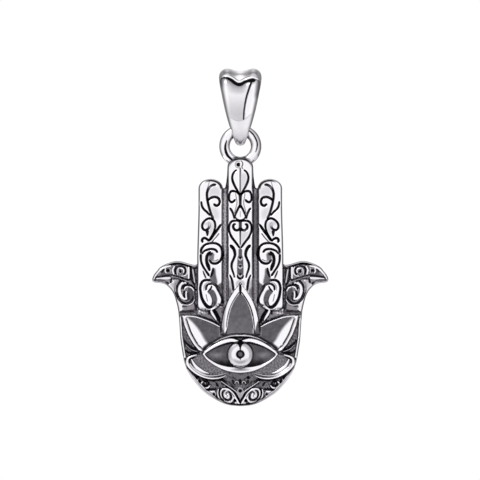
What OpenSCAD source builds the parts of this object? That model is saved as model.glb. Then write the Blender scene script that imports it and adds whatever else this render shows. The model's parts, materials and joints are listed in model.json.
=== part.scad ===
// Hamsa pendant: a cast silver hand with a lotus and an eye, a round ring
// soldered to its middle fingertip, and a folded bail that the ring hangs in.
// Millimetres. The front faces -Y, +Z is up, and the origin is the seat where
// the chain bears on the underside of the bail's top, at mid-width.

/* [Bail] */
// Inner length of the bail, from the chain's seat down to the floor of its eye
bail_len = 6.36; // [5.9:0.02:8]
// Width of the bail at its top
bail_w = 4.7; // [4:0.05:5.2]
// Inner depth of the bail at its top, front to back, where the chain runs
chain_gap = 3; // [2.6:0.05:3.6]
// Thickness of the bail's band at its two humps
band_t = 1.14; // [1:0.02:1.3]
// Inner depth of the bail's eye, front to back, where the ring turns
eye_gap = 2; // [1.9:0.05:2.4]
// Thickness of the bail round its eye
eye_t = 1; // [0.8:0.02:1.05]
// Width of the bail at the foot of its eye
foot_w = 1.16; // [0.9:0.02:1.3]

/* [Ring] */
// Thickness of the ring's round wire
wire_d = 1.16; // [1:0.02:1.24]
// Hole of the ring
ring_hole = 2.32; // [2.28:0.02:2.8]
// Play between the ring's wire and the floor of the bail's eye
play = 0.1; // [0.05:0.01:0.2]

/* [Hand] */
// Length of the middle finger, from its tip to the top of the palm
finger_len = 17.1; // [15.5:0.1:20]
// Height of the palm, from the thumbs' lower corners to the bottom
palm_h = 10.3; // [9.5:0.1:12]
// Width of the palm at its top
palm_w = 13.6; // [12.8:0.1:15]
// How far a thumb's tip stands out from the side finger
thumb_reach = 5.1; // [4.6:0.1:6]
// Height of a thumb, from its top edge to the top of the palm
thumb_h = 5.7; // [5.2:0.1:6.4]
// Width of the middle finger
mid_w = 2.83; // [2.6:0.01:3.2]
// Width of each side finger
side_w = 2.68; // [2.4:0.01:3]
// Width of the groove between two fingers
gap_w = 0.5; // [0.35:0.01:0.7]
// How much lower the side fingertips are than the middle one
finger_drop = 2.4; // [2:0.1:3.4]
// Height of the rounding at a fingertip
tip_round = 1.05; // [0.6:0.05:1.2]
// Thickness of the plate that carries the relief
plate_t = 1.1; // [0.9:0.05:1.5]

/* [Relief] */
// Height of the fingers and the eyelids above the plate
relief_h = 0.7; // [0.5:0.05:0.9]
// Height of the petals' rims above the plate
petal_h = 0.6; // [0.4:0.05:0.8]
// Height of the petals' flat faces above the plate
leaf_h = 0.25; // [0.1:0.05:0.35]
// Height of the raised scrolls on the thumbs and the palm above the plate
scroll_h = 0.4; // [0.2:0.05:0.5]
// Depth of the scrolls engraved in the fingers
groove_d = 0.3; // [0.15:0.05:0.45]
// Width of the engraved strokes at their middle
groove_w = 0.24; // [0.18:0.02:0.3]
// Width of the raised threads on the thumbs and the palm, at their middle
thread_w = 0.26; // [0.2:0.02:0.32]
// Width of the raised hem along the palm's bottom
hem_w = 0.3; // [0.2:0.05:0.45]
// Width of a petal's rim
rim_w = 0.42; // [0.3:0.02:0.55]
// Width of the eyelids
lid_w = 0.36; // [0.25:0.01:0.45]
// Half length of the eye, from its middle to a corner
eye_half = 4; // [3.6:0.1:4.6]
// Height of the eye's opening from lid to lid, over the lids
eye_h = 4.2; // [3.8:0.1:4.6]
// Diameter of the iris
iris_d = 2.75; // [2.2:0.05:3]
// Diameter of the pupil
pupil_d = 0.95; // [0.7:0.05:1.2]
// Depth of the pupil below the top of the iris
pupil_deep = 0.1; // [0.05:0.05:0.2]

/* [Hidden] */

// The hand's middle plane is set back from the ring's plane by this share of
// its thickness, so that it hangs level under the heavier relief.
back_share = 0.44;
hand_t = plate_t + relief_h;
back_f = -back_share * hand_t;
ground_f = back_f + plate_t;
front_f = ground_f + relief_h;
// Relief starts this far inside the plate, so that it is one solid with it.
sunk = 0.3;
// Raised faces stay this far inside the plate's outline.
bevel = 0.09;
// Shapes that are joined overlap by this much, and a joined outline grows by
// it. The bead in the pupil stands this far below the iris too.
weld = 0.02;

// Places down the middle line.
eye_floor_z = -bail_len;
axis_z = eye_floor_z + play + wire_d / 2;
ring_r = (ring_hole + wire_d) / 2;
ring_z = axis_z - ring_r;
// The fingertip starts this far below the ring's hole.
tip_clear = 0.06;
tip_z = ring_z - ring_hole / 2 - tip_clear;
palm_z = tip_z - finger_len;
side_x = mid_w / 2 + gap_w + side_w / 2;
side_edge_x = side_x + side_w / 2;

// The ornament is drawn on grids of about a tenth of a millimetre, which the
// sizes above stretch: so many units from a middle line to an edge, and so
// many down the length.
mid_grid = [13, 156];
side_grid = [12, 134];
palm_grid = [62, 94];
thumb_grid = [46, 52];
// On the palm's grid: how far down the eye's middle and the hem's ends lie.
eye_down = 41;
hem_down = 58;

// Shape helpers. Points of a smooth curve through p, n to each span.
function spline(p, n = 3) =
    [for (i = [0:len(p) - 2], k = [0:n - 1]) spline_point(p, i, k / n),
     p[len(p) - 1]];
function spline_point(p, i, t) =
    let (a = p[max(i - 1, 0)], b = p[i], c = p[i + 1],
         d = p[min(i + 2, len(p) - 1)])
    (2 * b + (c - a) * t + (2 * a - 5 * b + 4 * c - d) * t * t
     + (3 * b - a - 3 * c + d) * t * t * t) / 2;
// Left normal of the line p at its point i.
function normal(p, i) =
    let (d = p[min(i + 1, len(p) - 1)] - p[max(i - 1, 0)])
    [-d.y, d.x] / norm(d);
// Outline of a stroke along p that is w wide in the middle and half at its ends.
function stroke(p, w) =
    let (n = len(p) - 1,
         half = [for (i = [0:n]) w * (0.5 + 0.5 * sin(180 * i / n)) / 2])
    concat([for (i = [0:n]) p[i] + normal(p, i) * half[i]],
           [for (i = [n:-1:0]) p[i] - normal(p, i) * half[i]]);
// Points of a spiral about c, from radius r0 at angle a0 to r1 at a1.
function spiral(c, r0, r1, a0, a1, n = 18) =
    [for (i = [0:n])
        let (r = r0 + (r1 - r0) * i / n, a = a0 + (a1 - a0) * i / n)
        c + r * [cos(a), sin(a)]];
function mirrored(p) = [for (q = p) [-q.x, q.y]];
function reversed(p) = [for (i = [len(p) - 1:-1:0]) p[i]];
function blend(t) = t <= 0 ? 0 : t >= 1 ? 1 : t * t * (3 - 2 * t);

// Grid points, [across, down], in the hand's own plane.
function on_mid(p) =
    [for (q = p) [q.x * mid_w / 2 / mid_grid.x,
                  tip_z - q.y * finger_len / mid_grid.y]];
function on_side(p) =
    [for (q = p) [side_x + q.x * side_w / 2 / side_grid.x,
                  tip_z - finger_drop
                  - q.y * (finger_len - finger_drop) / side_grid.y]];
function on_palm(p) =
    [for (q = p) [q.x * palm_w / 2 / palm_grid.x,
                  palm_z - q.y * palm_h / palm_grid.y]];
function on_thumb(p) =
    [for (q = p) [side_edge_x + q.x * thumb_reach / thumb_grid.x,
                  palm_z + thumb_h - q.y * thumb_h / thumb_grid.y]];

// Outline tables

// Right half of the palm, as [share of half the width, share of the height].
palm_edge = [
    [1, 0], [0.97, 0.29], [0.94, 0.41], [0.89, 0.53], [0.815, 0.663],
    [0.7, 0.77], [0.555, 0.866], [0.36, 0.947], [0.15, 0.99],
];
// Thumb's upper edge from the finger to the tip, as [share of the reach,
// share of the height down from its top].
thumb_upper = [
    [-0.1, 0.08], [0.05, 0.08], [0.18, 0.06], [0.29, 0.03], [0.4, 0],
    [0.51, 0], [0.62, 0.03], [0.73, 0.07], [0.835, 0.125], [0.9, 0.19],
    [0.955, 0.27], [1, 0.37],
];
// Thumb's lower edge from the tip to the palm's corner, as [share of the way
// from the corner out to the tip, share of the height down from its top].
thumb_lower = [
    [1, 0.37], [0.94, 0.415], [0.79, 0.425], [0.63, 0.435], [0.48, 0.46],
    [0.37, 0.51], [0.25, 0.58], [0.15, 0.67], [0.1, 0.77], [0.04, 0.885],
    [0, 1],
];
// Lotus petals on the palm's grid, as [across, down], the right half.
centre_petal = [[0, -30], [5.3, -24], [10.3, -17], [13.8, -9], [16.3, -2],
                [18.3, 7], [19.3, 24]];
side_petal_top = [[58.3, 1.5], [45.3, 3], [35.3, 6.5], [20.8, 13.5]];
side_petal_low = [[42, 37], [48.3, 30.5], [53.3, 20], [56.8, 9], [58.3, 1.5]];
low_petal = [[36, 41], [46.3, 43], [52.3, 46.5], [53, 52], [48.3, 58],
             [42.3, 62], [35.3, 65], [28.3, 66.3], [22.3, 66], [14, 63]];
low_petal_root = [[10, 45]];
// The petals end on this line under the eye.
petal_foot = [[20, 40], [0, 40]];

// Engraved strokes of the right side finger, each a list of [across, down].
side_strokes = [
    // Stem
    [[-5, 5.5], [-1, 6.5], [2, 10], [3.5, 15], [3, 21], [0, 33], [-2, 39]],
    // Hook to the left of the stem
    [[1, 20], [-1, 19], [-5, 18], [-8, 20], [-8.7, 23], [-7, 26], [-4, 25.5]],
    // Branch to its right
    [[9, 23], [8.5, 27], [6, 32], [1, 35]],
    // Leaf's left side
    [[-2, 41], [-4, 43], [-4.7, 47], [-3.5, 51], [-1, 57], [1, 61]],
    // Curl in the leaf
    [[-1, 40.5], [2, 39.8], [6, 42], [8, 46], [7, 50], [4.5, 51], [2, 48]],
    // Bar below the leaf
    [[-10, 46], [-7, 51], [-3, 56], [-1, 59]],
    // Large scroll
    [[9.5, 72], [8, 69], [4, 65.5], [-2, 64.5], [-8, 66], [-10.5, 70],
     [-10.7, 75], [-9.5, 80], [-6, 83.5], [-2, 84], [1, 81]],
    // Its inner arc
    [[-6.5, 73], [-4, 70.5], [1, 70], [5, 71.5], [8, 75]],
    // Its core
    [[-1, 73], [2.5, 76], [3.5, 81], [3, 87], [1, 91]],
    // Its tail
    [[9.5, 80], [7.5, 88], [3, 94], [1, 97]],
    // Lower scroll
    [[0, 101.5], [5, 102], [9, 106], [10.5, 113], [9.5, 120], [6, 125],
     [0, 127], [-4.5, 125], [-6, 121], [-5, 117], [-1.5, 113]],
    // Its inner arc
    [[-8, 108], [-4, 105.5], [1, 105.5], [4.5, 108], [6, 112]],
];
// Engraved strokes of the middle finger's right half.
mid_strokes = [
    // Bud
    [[3.3, 12.5], [6.3, 15], [7.8, 19], [7.3, 24], [5.3, 29], [2, 34]],
    // Hook below it
    [[1.5, 36.5], [4.3, 34.5], [8.3, 34.5], [10.4, 37], [10.6, 41], [8.5, 45],
     [6, 43.5]],
    // Line inside the hook
    [[5.8, 37.5], [4, 41], [3.8, 46], [5.3, 52]],
    // Heart
    [[1, 63.5], [4.3, 63.5], [9.3, 65], [10.9, 69], [10.5, 73], [8.3, 79],
     [4.3, 84], [1.5, 88.5]],
    // Curl in the heart
    [[1, 72], [3.3, 73], [5.8, 72], [7.3, 69], [5.3, 67.5]],
    // Wavy line
    [[8.8, 89], [6.3, 92.5], [5.3, 97], [6.8, 101.5], [8.8, 106],
     [8.8, 111], [7.3, 116], [5.8, 120.5]],
];
// Engraved strokes on the middle finger's own middle line.
mid_line_strokes = [
    [[0, 11], [0, 18], [0, 26], [0, 33]],
    [[0, 39], [0, 43], [0, 47], [0, 50]],
    [[0, 54], [0, 57], [0, 60]],
    [[0, 75], [0, 79], [0, 83]],
    [[0, 92], [0, 100], [0, 108], [0, 116]],
];
// Raised strokes of the right thumb.
thumb_strokes = [
    // Rim along the upper edge
    [[3, 7], [10, 5], [17, 3.4], [25, 3.2], [33, 6], [39, 10], [42.5, 15]],
    // Lower leaf
    [[43, 19], [34, 18], [26, 17], [19, 19], [12, 24], [8, 29]],
    // Bar beside the finger
    [[5.5, 9], [5.5, 12], [5.5, 17]],
    // Tongue of the lower scroll
    [[11, 30], [11, 34], [11, 37]],
];
// Raised strokes of the palm's right half.
palm_strokes = [
    // Upper ridge that falls to the middle line
    [[21, 67.5], [15, 69.5], [10, 72.5], [5, 75.5], [1, 80]],
    // Ridge from the large scroll to the middle line
    [[19, 78], [14, 76], [9.3, 77], [5, 81], [2.5, 85], [0, 90]],
    // Band between the two scrolls
    [[21.5, 88], [22.5, 82], [22, 77]],
    // Strip along the bottom rim
    [[38, 77], [33, 79], [28, 79.5], [24, 78.5]],
];
// Coils and dots in grid units. A coil is [centre, outer radius, radius of its
// core, start angle, end angle], and a dot is [centre, radius].
thumb_coils = [[[17, 9.5], 6.5, 2, -150, 220], [[10.5, 34], 9.5, 3.5, 170, -230]];
palm_coils = [[[13.3, 83], 6.2, 1.5, 180, -250], [[35.3, 71], 4, 1.5, 200, -120]];
thumb_dot = [[30.5, 9.5], 1.5];
palm_dot = [[0, 78], 2.2];

// Flat outlines in the hand's own plane, x across and z up

module both() {
    children();
    mirror([1, 0, 0]) children();
}

module finger_outline(w, length) {
    tip = [for (a = [0:15:180]) [w / 2 * cos(a), tip_round * (sin(a) - 1)]];
    polygon(concat(tip, [[-w / 2, -length], [w / 2, -length]]));
}

module mid_finger() {
    translate([0, tip_z]) finger_outline(mid_w, finger_len);
}

module side_finger() {
    translate([side_x, tip_z - finger_drop])
        finger_outline(side_w, finger_len - finger_drop);
}

module thumb_outline() {
    root = palm_w / 2 - side_edge_x;
    upper = [for (q = thumb_upper) [side_edge_x + q.x * thumb_reach,
                                    palm_z + thumb_h * (1 - q.y)]];
    lower = [for (q = thumb_lower)
        [side_edge_x + root + q.x * (thumb_reach - root),
         palm_z + thumb_h * (1 - q.y)]];
    polygon(concat(spline(upper), spline(lower),
                   [[palm_w / 2, palm_z - weld], [side_x, palm_z - weld]]));
}

module palm_outline() {
    half = [for (q = palm_edge) [q.x * palm_w / 2, palm_z - q.y * palm_h]];
    polygon(spline(concat(half, [[0, palm_z - palm_h]],
                          reversed(mirrored(half)))));
}

// The web between the fingers stops where the side fingertips are full width.
module web_outline() {
    top_z = tip_z - finger_drop - tip_round;
    translate([-side_x, palm_z]) square([2 * side_x, top_z - palm_z]);
}

module hand_outline() {
    offset(delta = weld) offset(delta = -weld) {
        mid_finger();
        both() side_finger();
        both() thumb_outline();
        palm_outline();
        web_outline();
    }
}

// The almond of the eye, its lids drawn in by inset: where two discs cross.
module almond(inset) {
    rise = eye_h / 2;
    r = (eye_half * eye_half + rise * rise) / (2 * rise);
    eye_z = eye_centre_z();
    intersection() {
        translate([0, eye_z + rise - r]) circle(r - inset, $fn = 96);
        translate([0, eye_z - rise + r]) circle(r - inset, $fn = 96);
    }
}

function eye_centre_z() = palm_z - palm_h * eye_down / palm_grid.y;

module centre_petal_outline() {
    right = spline(on_palm(centre_petal));
    polygon(concat(right, reversed(mirrored(right))));
}

module side_petal_outline() {
    polygon(concat(spline(on_palm(side_petal_top)), on_palm(petal_foot),
                   spline(on_palm(side_petal_low))));
}

module low_petal_outline() {
    polygon(concat(spline(on_palm(low_petal)), on_palm(low_petal_root)));
}

// A petal's rim, or its flat face, clear of the eye and of the petal before it.
module petal(inner) {
    if (inner) children();
    else difference() {
        children();
        offset(delta = -rim_w) children();
    }
}

// Solid pieces of the hand. Depth f runs forward, from the back to the front.

module layer(from_f, to_f) {
    rotate([90, 0, 0]) translate([0, 0, from_f])
        linear_extrude(to_f - from_f) children();
}

module raised(height) {
    layer(ground_f - sunk, ground_f + height) children();
}

module strokes(list, w) {
    for (p = list) polygon(stroke(spline(p, 2), w));
}

module plate() {
    layer(back_f, ground_f) hand_outline();
}

// The fingers' shape inside their bevel, ended where the lotus begins.
module finger_faces() {
    difference() {
        offset(delta = -bevel) {
            mid_finger();
            both() side_finger();
        }
        offset(delta = bevel) {
            centre_petal_outline();
            both() side_petal_outline();
        }
    }
}

module fingers() {
    raised(relief_h - groove_d) finger_faces();
    raised(relief_h) offset(delta = weld) difference() {
            finger_faces();
            both() strokes([for (p = side_strokes) on_side(p)], groove_w);
            both() strokes([for (p = mid_strokes) on_mid(p)], groove_w);
            strokes([for (p = mid_line_strokes) on_mid(p)], groove_w);
        }
}

// Raised coils of a list, each on its own centre.
module coils(list, centres, unit) {
    for (i = [0:len(list) - 1])
        let (c = list[i])
            polygon(stroke(spiral(centres[i], c[1] * unit, c[2] * unit, c[3], c[4]),
                           thread_w));
}

module thumb_scrolls() {
    unit = thumb_h / thumb_grid.y;
    centres = on_thumb([for (c = thumb_coils) c[0]]);
    raised(scroll_h) intersection() {
        offset(delta = -bevel) thumb_outline();
        offset(delta = weld) {
            strokes([for (p = thumb_strokes) on_thumb(p)], thread_w);
            coils(thumb_coils, centres, unit);
            translate(on_thumb([thumb_dot[0]])[0])
                circle(thumb_dot[1] * unit, $fn = 16);
        }
    }
}

module petals() {
    for (inner = [true, false])
        raised(inner ? leaf_h : petal_h) offset(delta = weld)
            difference() {
                union() {
                    petal(inner) centre_petal_outline();
                    both() difference() {
                        petal(inner) side_petal_outline();
                        offset(delta = bevel) centre_petal_outline();
                    }
                    both() petal(inner) low_petal_outline();
                }
                almond(-bevel);
            }
}

module eye() {
    iris_z = eye_centre_z();
    // The iris is the cap of a ball that stands as high as the lids.
    cap_h = relief_h - leaf_h / 2;
    ball_r = (pow(iris_d / 2, 2) + cap_h * cap_h) / (2 * cap_h);
    pupil_f = front_f - pupil_deep;
    raised(relief_h) difference() {
        almond(0);
        almond(lid_w);
    }
    raised(leaf_h / 2) almond(lid_w / 2);
    difference() {
        intersection() {
            translate([0, ball_r - front_f, iris_z]) sphere(ball_r, $fn = 64);
            raised(relief_h + sunk) translate([0, iris_z])
                circle(iris_d / 2, $fn = 64);
        }
        layer(pupil_f, front_f + sunk) translate([0, iris_z])
            circle(pupil_d / 2, $fn = 48);
    }
    layer(pupil_f - sunk, front_f - weld) translate([0, iris_z])
        circle(pupil_d / 4, $fn = 32);
}

// The raised rim along the palm's bottom, from one hem end to the other.
module hem() {
    top_z = palm_z - palm_h * hem_down / palm_grid.y;
    intersection() {
        difference() {
            palm_outline();
            offset(delta = -hem_w) palm_outline();
        }
        translate([-palm_w / 2, palm_z - palm_h])
            square([palm_w, top_z - palm_z + palm_h]);
    }
}

module palm_scrolls() {
    unit = palm_h / palm_grid.y;
    centres = on_palm([for (c = palm_coils) c[0]]);
    raised(scroll_h) intersection() {
        offset(delta = -bevel) palm_outline();
        offset(delta = weld) {
            hem();
            both() {
                strokes([for (p = palm_strokes) on_palm(p)], thread_w);
                coils(palm_coils, centres, unit);
            }
            translate(on_palm([palm_dot[0]])[0])
                circle(palm_dot[1] * unit, $fn = 16);
        }
    }
}

module ring() {
    translate([0, 0, ring_z]) rotate([90, 0, 0]) rotate_extrude($fn = 72)
        translate([ring_r, 0]) circle(wire_d / 2, $fn = 32);
}

// The bail's band: sections set round a loop that lies across the chain

// The loop's inner line is a belt round a large top circle and a small foot one.
top_r = chain_gap / 2;
foot_r = eye_gap / 2;
top_c = -top_r;
foot_c = eye_floor_z + foot_r;
lean = asin((top_r - foot_r) / (top_c - foot_c));
turn_steps = 9;
leg_steps = 8;
// Points across half of a section.
edge_steps = 6;

// Front half of the loop from top to foot: [forward, up, angle of the outward
// normal from straight up].
function loop_half() = concat(
    [for (i = [0:turn_steps - 1])
        let (a = (90 + lean) * i / turn_steps)
        [top_r * sin(a), top_c + top_r * cos(a), a]],
    [for (i = [0:leg_steps - 1])
        let (a = 90 + lean, t = i / leg_steps,
             r = top_r + (foot_r - top_r) * t,
             c = top_c + (foot_c - top_c) * t)
        [r * sin(a), c + r * cos(a), a]],
    [for (i = [0:turn_steps])
        let (a = 90 + lean + (90 - lean) * i / turn_steps)
        [foot_r * sin(a), foot_c + foot_r * cos(a), a]]);

// How far down the band a station lies, 0 at the top and 1 at the foot.
function down_share(s) =
    let (top_mid = band_t / 2, foot_mid = eye_floor_z - eye_t / 2,
         mid = s[1] + cos(s[2]) * (s[2] < 90 ? band_t : eye_t) / 2)
    (top_mid - mid) / (top_mid - foot_mid);

// Half width of the band: it narrows slowly at first and faster to the foot.
function half_width(f) =
    bail_w / 2 * (1 - (1 - foot_w / bail_w) * (f + 2 * f * f) / 3);

// Depth of the valley between the band's humps, as a share of its thickness.
// It deepens from the top to the shoulder, where the outward normal has turned
// by shoulder_a, then runs out over run_out_a to a shallow one down the leg,
// which ends this share of the way down.
valley_end = 0.8;
top_valley = 0.27;
shoulder_valley = 0.47;
leg_valley = 0.12;
shoulder_a = 50;
run_out_a = 42;
function valley_depth(f, a) =
    let (over = top_valley + (shoulder_valley - top_valley) * blend(a / shoulder_a),
         leg = leg_valley * pow(max(0, 1 - f / valley_end), 2))
    over + (leg - over) * blend((a - shoulder_a) / run_out_a);

// Thickness of the band's outer face above its inner one, at the share s of
// the half width and the outward normal's angle a. It has two humps at hump_s
// with the valley between them, and turns round towards the foot.
hump_s = 0.61;
edge_share = 0.18;
// The turn round starts this share of the way down, and takes this much more.
turn_from = 0.4;
turn_over = 0.5;
function turned(f) = blend((f - turn_from) / turn_over);
function outer_face(s, f, a) =
    let (t = band_t + (eye_t - band_t) * f,
         valley = valley_depth(f, a) * pow(1 - pow(s / hump_s, 2), 2),
         flank = sqrt(1 - pow(max(0, s - hump_s) / (1 - hump_s), 2)),
         band = edge_share + (1 - edge_share)
                * (s < hump_s ? 1 - valley : flank),
         round_f = 0.5 + 0.5 * sqrt(1 - s * s))
    t * (band + (round_f - band) * turned(f));
function inner_face(s, f) =
    let (t = band_t + (eye_t - band_t) * f)
    t * 0.5 * (1 - sqrt(1 - s * s)) * turned(f);

// Closed section at the station, out along the outer face and back inside.
function section(station, back) =
    let (f = down_share(station), w = half_width(f), a = station[2],
         n = edge_steps,
         shares = [for (i = [-n:n]) sin(90 * i / n)],
         points = concat(
             [for (s = shares) [s * w, outer_face(abs(s), f, a)]],
             [for (i = [2 * n:-1:0])
                 [shares[i] * w, inner_face(abs(shares[i]), f)]]),
         side = back ? 1 : -1)
    [for (p = points)
        [p.x, side * (station[0] + p.y * sin(a)), station[1] + p.y * cos(a)]];

module bail() {
    half = loop_half();
    last = len(half) - 1;
    sections = concat(
        [for (i = [0:last]) section(half[i], false)],
        [for (i = [last - 1:-1:1]) section(half[i], true)]);
    count = len(sections);
    m = len(sections[0]);
    points = [for (s = sections) each s];
    faces = [for (i = [0:count - 1], j = [0:m - 1])
        [i * m + j, i * m + (j + 1) % m,
         ((i + 1) % count) * m + (j + 1) % m, ((i + 1) % count) * m + j]];
    color("silver") polyhedron(points, faces);
}

module hamsa_hand() {
    color("silver") {
        ring();
        plate();
        fingers();
        both() thumb_scrolls();
        petals();
        eye();
        palm_scrolls();
    }
}

bail();
hamsa_hand();
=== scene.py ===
# %% [markdown]
# # A silver hamsa pendant
#
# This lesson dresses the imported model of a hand-shaped pendant. The real one
# is cast in silver, dipped in a bath that blackens it, and polished again, so
# that the raised faces shine and the hollows stay dark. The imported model
# gives the two bodies and their places: the bail, which a chain runs through,
# and the hand with its round ring. Every picture detail comes from surfaces
# that are worked out here as arrays.

# %% The frame and the size it has to keep
import json
import bpy
import numpy as np
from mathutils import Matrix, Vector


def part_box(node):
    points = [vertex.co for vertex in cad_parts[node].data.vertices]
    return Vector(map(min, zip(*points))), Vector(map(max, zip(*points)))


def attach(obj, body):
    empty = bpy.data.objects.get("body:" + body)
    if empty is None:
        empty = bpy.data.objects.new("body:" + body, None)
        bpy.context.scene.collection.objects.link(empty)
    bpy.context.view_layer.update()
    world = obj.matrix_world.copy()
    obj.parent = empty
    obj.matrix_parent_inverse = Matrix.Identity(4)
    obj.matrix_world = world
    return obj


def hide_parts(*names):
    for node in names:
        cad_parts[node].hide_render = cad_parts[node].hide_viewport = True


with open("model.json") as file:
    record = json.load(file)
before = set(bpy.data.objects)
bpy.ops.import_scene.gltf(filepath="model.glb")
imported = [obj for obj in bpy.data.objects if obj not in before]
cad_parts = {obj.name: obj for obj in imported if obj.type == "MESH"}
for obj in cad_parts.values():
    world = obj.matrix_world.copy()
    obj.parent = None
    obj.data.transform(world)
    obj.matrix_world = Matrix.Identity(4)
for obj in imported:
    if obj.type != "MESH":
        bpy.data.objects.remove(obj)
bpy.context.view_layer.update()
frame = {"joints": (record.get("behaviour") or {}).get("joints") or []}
hand_low, hand_high = (np.array(corner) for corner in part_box("hamsa_hand"))
bail_low, bail_high = (np.array(corner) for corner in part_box("bail"))
hinge = np.array(frame["joints"][0]["pos_m"])
print("hand", hand_low, hand_high)
print("bail", bail_low, bail_high, "hinge", hinge)

# %% [markdown]
# ## A drawing grid
#
# The ornament is easier to draw on paper than in metres. The drawing counts
# units of about a tenth of a millimetre: so many across from the middle line,
# and so many down from the tip of the middle finger. Two numbers turn units
# into metres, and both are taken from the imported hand, so the drawing always
# fits it.

# %% Units of the drawing
MM = 0.001
WIRE = 1.16 * MM                 # thickness of the ring's wire
RING_HOLE = 2.32 * MM
TIP_CLEAR = 0.06 * MM            # from the ring's hole to the fingertip
ring_mean = (RING_HOLE + WIRE) / 2
ring_z = hinge[2] - ring_mean
tip_z = ring_z - RING_HOLE / 2 - TIP_CLEAR
HALF_WIDE, LENGTH = 88.0, 249.5  # the hand's reach in units
UNIT = hand_high[0] / HALF_WIDE
UNIT_DOWN = (tip_z - hand_low[2]) / LENGTH
print("one unit is", round(UNIT / MM, 4), "mm across,", round(UNIT_DOWN / MM, 4), "mm down")

# %% [markdown]
# ## Smooth lines
#
# A goldsmith draws a scroll in one sweep. Here a few points stand for the
# sweep, and a cubic through them gives the smooth line. The slope at each
# point is half the step between its neighbours. A curve object would draw the
# same sweep, but an array of places can be measured against, which is what
# all the engraving below does.

# %% Smooth lines and soft steps
def soft(t):
    """A step from 0 to 1 with level ends: 3 t squared minus 2 t cubed."""
    t = np.clip(t, 0.0, 1.0)
    return t * t * (3.0 - 2.0 * t)


def sweep(points, spans=6):
    """The cubic through the points: spans places between each two of them."""
    p = np.asarray(points, float)
    q = np.vstack([p[:1], p, p[-1:]])
    a, b, c, d = (q[i:len(q) - 3 + i, None] for i in range(4))
    t = (np.arange(spans) / spans)[None, :, None]
    line = (2 * b + (c - a) * t + (2 * a - 5 * b + 4 * c - d) * t ** 2
            + (3 * b - a - 3 * c + d) * t ** 3) / 2
    return np.vstack([line.reshape(-1, 2), p[-1:]])


print("a sweep of three points has", len(sweep([(0, 0), (1, 1), (2, 0)])), "places")

# %% [markdown]
# ## The hand's outline
#
# The edge of the hand is drawn once, for the right half: round the middle
# fingertip, into the notch, over the side finger, out along the thumb and
# round the palm. It runs a little past the middle line at both ends, so that
# the nearest place on it is right there too. A curve object could hold the
# outline as well, but the distances below need it as places.

# %% Right half of the outline, as (across, down)
def fingertip(middle, half, top, height, start, stop, count=24):
    """Part of a half ellipse over a finger, between two angles in degrees."""
    t = np.radians(np.linspace(start, stop, count))
    return np.stack([middle + half * np.cos(t), top + height * (1 - np.sin(t))], 1)


MID_HALF, SIDE_MID, SIDE_HALF = 12.85, 29.6, 12.2
TIP_HEIGHT, SIDE_TOP = 9.6, 21.7
notch_down = SIDE_TOP + TIP_HEIGHT
FLARE = 1.3


def side_edge(down):
    """The side finger's outer edge, which leans out softly by FLARE units on its way down."""
    return SIDE_MID + SIDE_HALF + FLARE * soft((down - 45) / 60)


thumb_top = [(side_edge(107), 107.4), (46, 107.9), (50.3, 107), (55.3, 105.5), (60.3, 104.2),
             (65.3, 104.2), (70.3, 105.5), (75.3, 107.5), (80.3, 110.5), (83.3, 114),
             (86.4, 118), (88, 122.2), (87.4, 124.7)]
thumb_foot = [(85.3, 125.7), (82.3, 126.0), (78.3, 126.5), (74.3, 128), (71.3, 130.5), (68.3, 134),
              (65.8, 139), (64.3, 144), (62.8, 150), (61.8, 156)]
palm_side = [(60.8, 168), (59.8, 183), (58.3, 193), (56.6, 203), (54.6, 210), (52.3, 215),
             (50.3, 218.5), (47.3, 223), (43.3, 228), (39.3, 232.5), (34.3, 237), (28.3, 241),
             (22.3, 244.5), (15.3, 247.5), (8.3, 249), (0, LENGTH), (-8.3, 249)]
edge_line = np.vstack([
    fingertip(0, MID_HALF, 0, TIP_HEIGHT, 130, 0),
    [(MID_HALF + 0.4, notch_down - 13), (MID_HALF + 1.2, notch_down - 6), (MID_HALF + 2.2, notch_down - 1.2),
     (MID_HALF + 3, notch_down - 0.2), (SIDE_MID - SIDE_HALF - 0.7, notch_down - 0.6)],
    fingertip(SIDE_MID, SIDE_HALF, SIDE_TOP, TIP_HEIGHT, 180, 0),
    [(side_edge(down), down) for down in np.linspace(34, 106, 20)],
    sweep(thumb_top), sweep(thumb_foot + palm_side)])
print("outline:", len(edge_line), "places, down to", edge_line[:, 1].max())

# %% [markdown]
# ## How far each place is from a line
#
# Everything on the hand is worked out from distances: a groove is dark within
# half its width of its middle line, and an edge is round within a unit or two
# of the outline. So the lesson needs two measures over the whole sheet of
# points. One is the distance to an open line, with the share of the line's
# length at the nearest place. The other is the distance inside a closed one,
# which is below zero outside it. The tools that use them look only at points
# near the line, which saves most of the work.

# %% Distances over the sheet
def nearest(points, line):
    """Distance from each point to the line, share of its length there, and the place itself.

    On each straight piece the nearest place is the foot of the perpendicular,
    held between the piece's two ends; the closest piece wins.
    """
    start, step = line[:-1], np.diff(line, axis=0)
    length = np.hypot(*step.T)
    run = np.concatenate([[0], np.cumsum(length)])
    t = np.einsum("psk,sk->ps", points[:, None] - start, step) / np.maximum(length, 1e-9) ** 2
    t = np.clip(t, 0, 1)
    place = start + t[..., None] * step
    gap = np.hypot(*np.moveaxis(points[:, None] - place, 2, 0))
    best = gap.argmin(1)
    row = np.arange(len(points))
    share = (run[best] + t[row, best] * length[best]) / run[-1]
    return gap[row, best], share, place[row, best]


def is_inside(points, ring):
    """True where a ray across from the point crosses the closed ring an odd number of times."""
    a, b = ring, np.roll(ring, -1, axis=0)
    x, y = points[:, 0, None], points[:, 1, None]
    spans = (a[:, 1] > y) != (b[:, 1] > y)
    rise = np.where(b[:, 1] == a[:, 1], 1.0, b[:, 1] - a[:, 1])
    cross = a[:, 0] + (y - a[:, 1]) * (b[:, 0] - a[:, 0]) / rise
    return (spans & (x < cross)).sum(1) % 2 == 1


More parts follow.
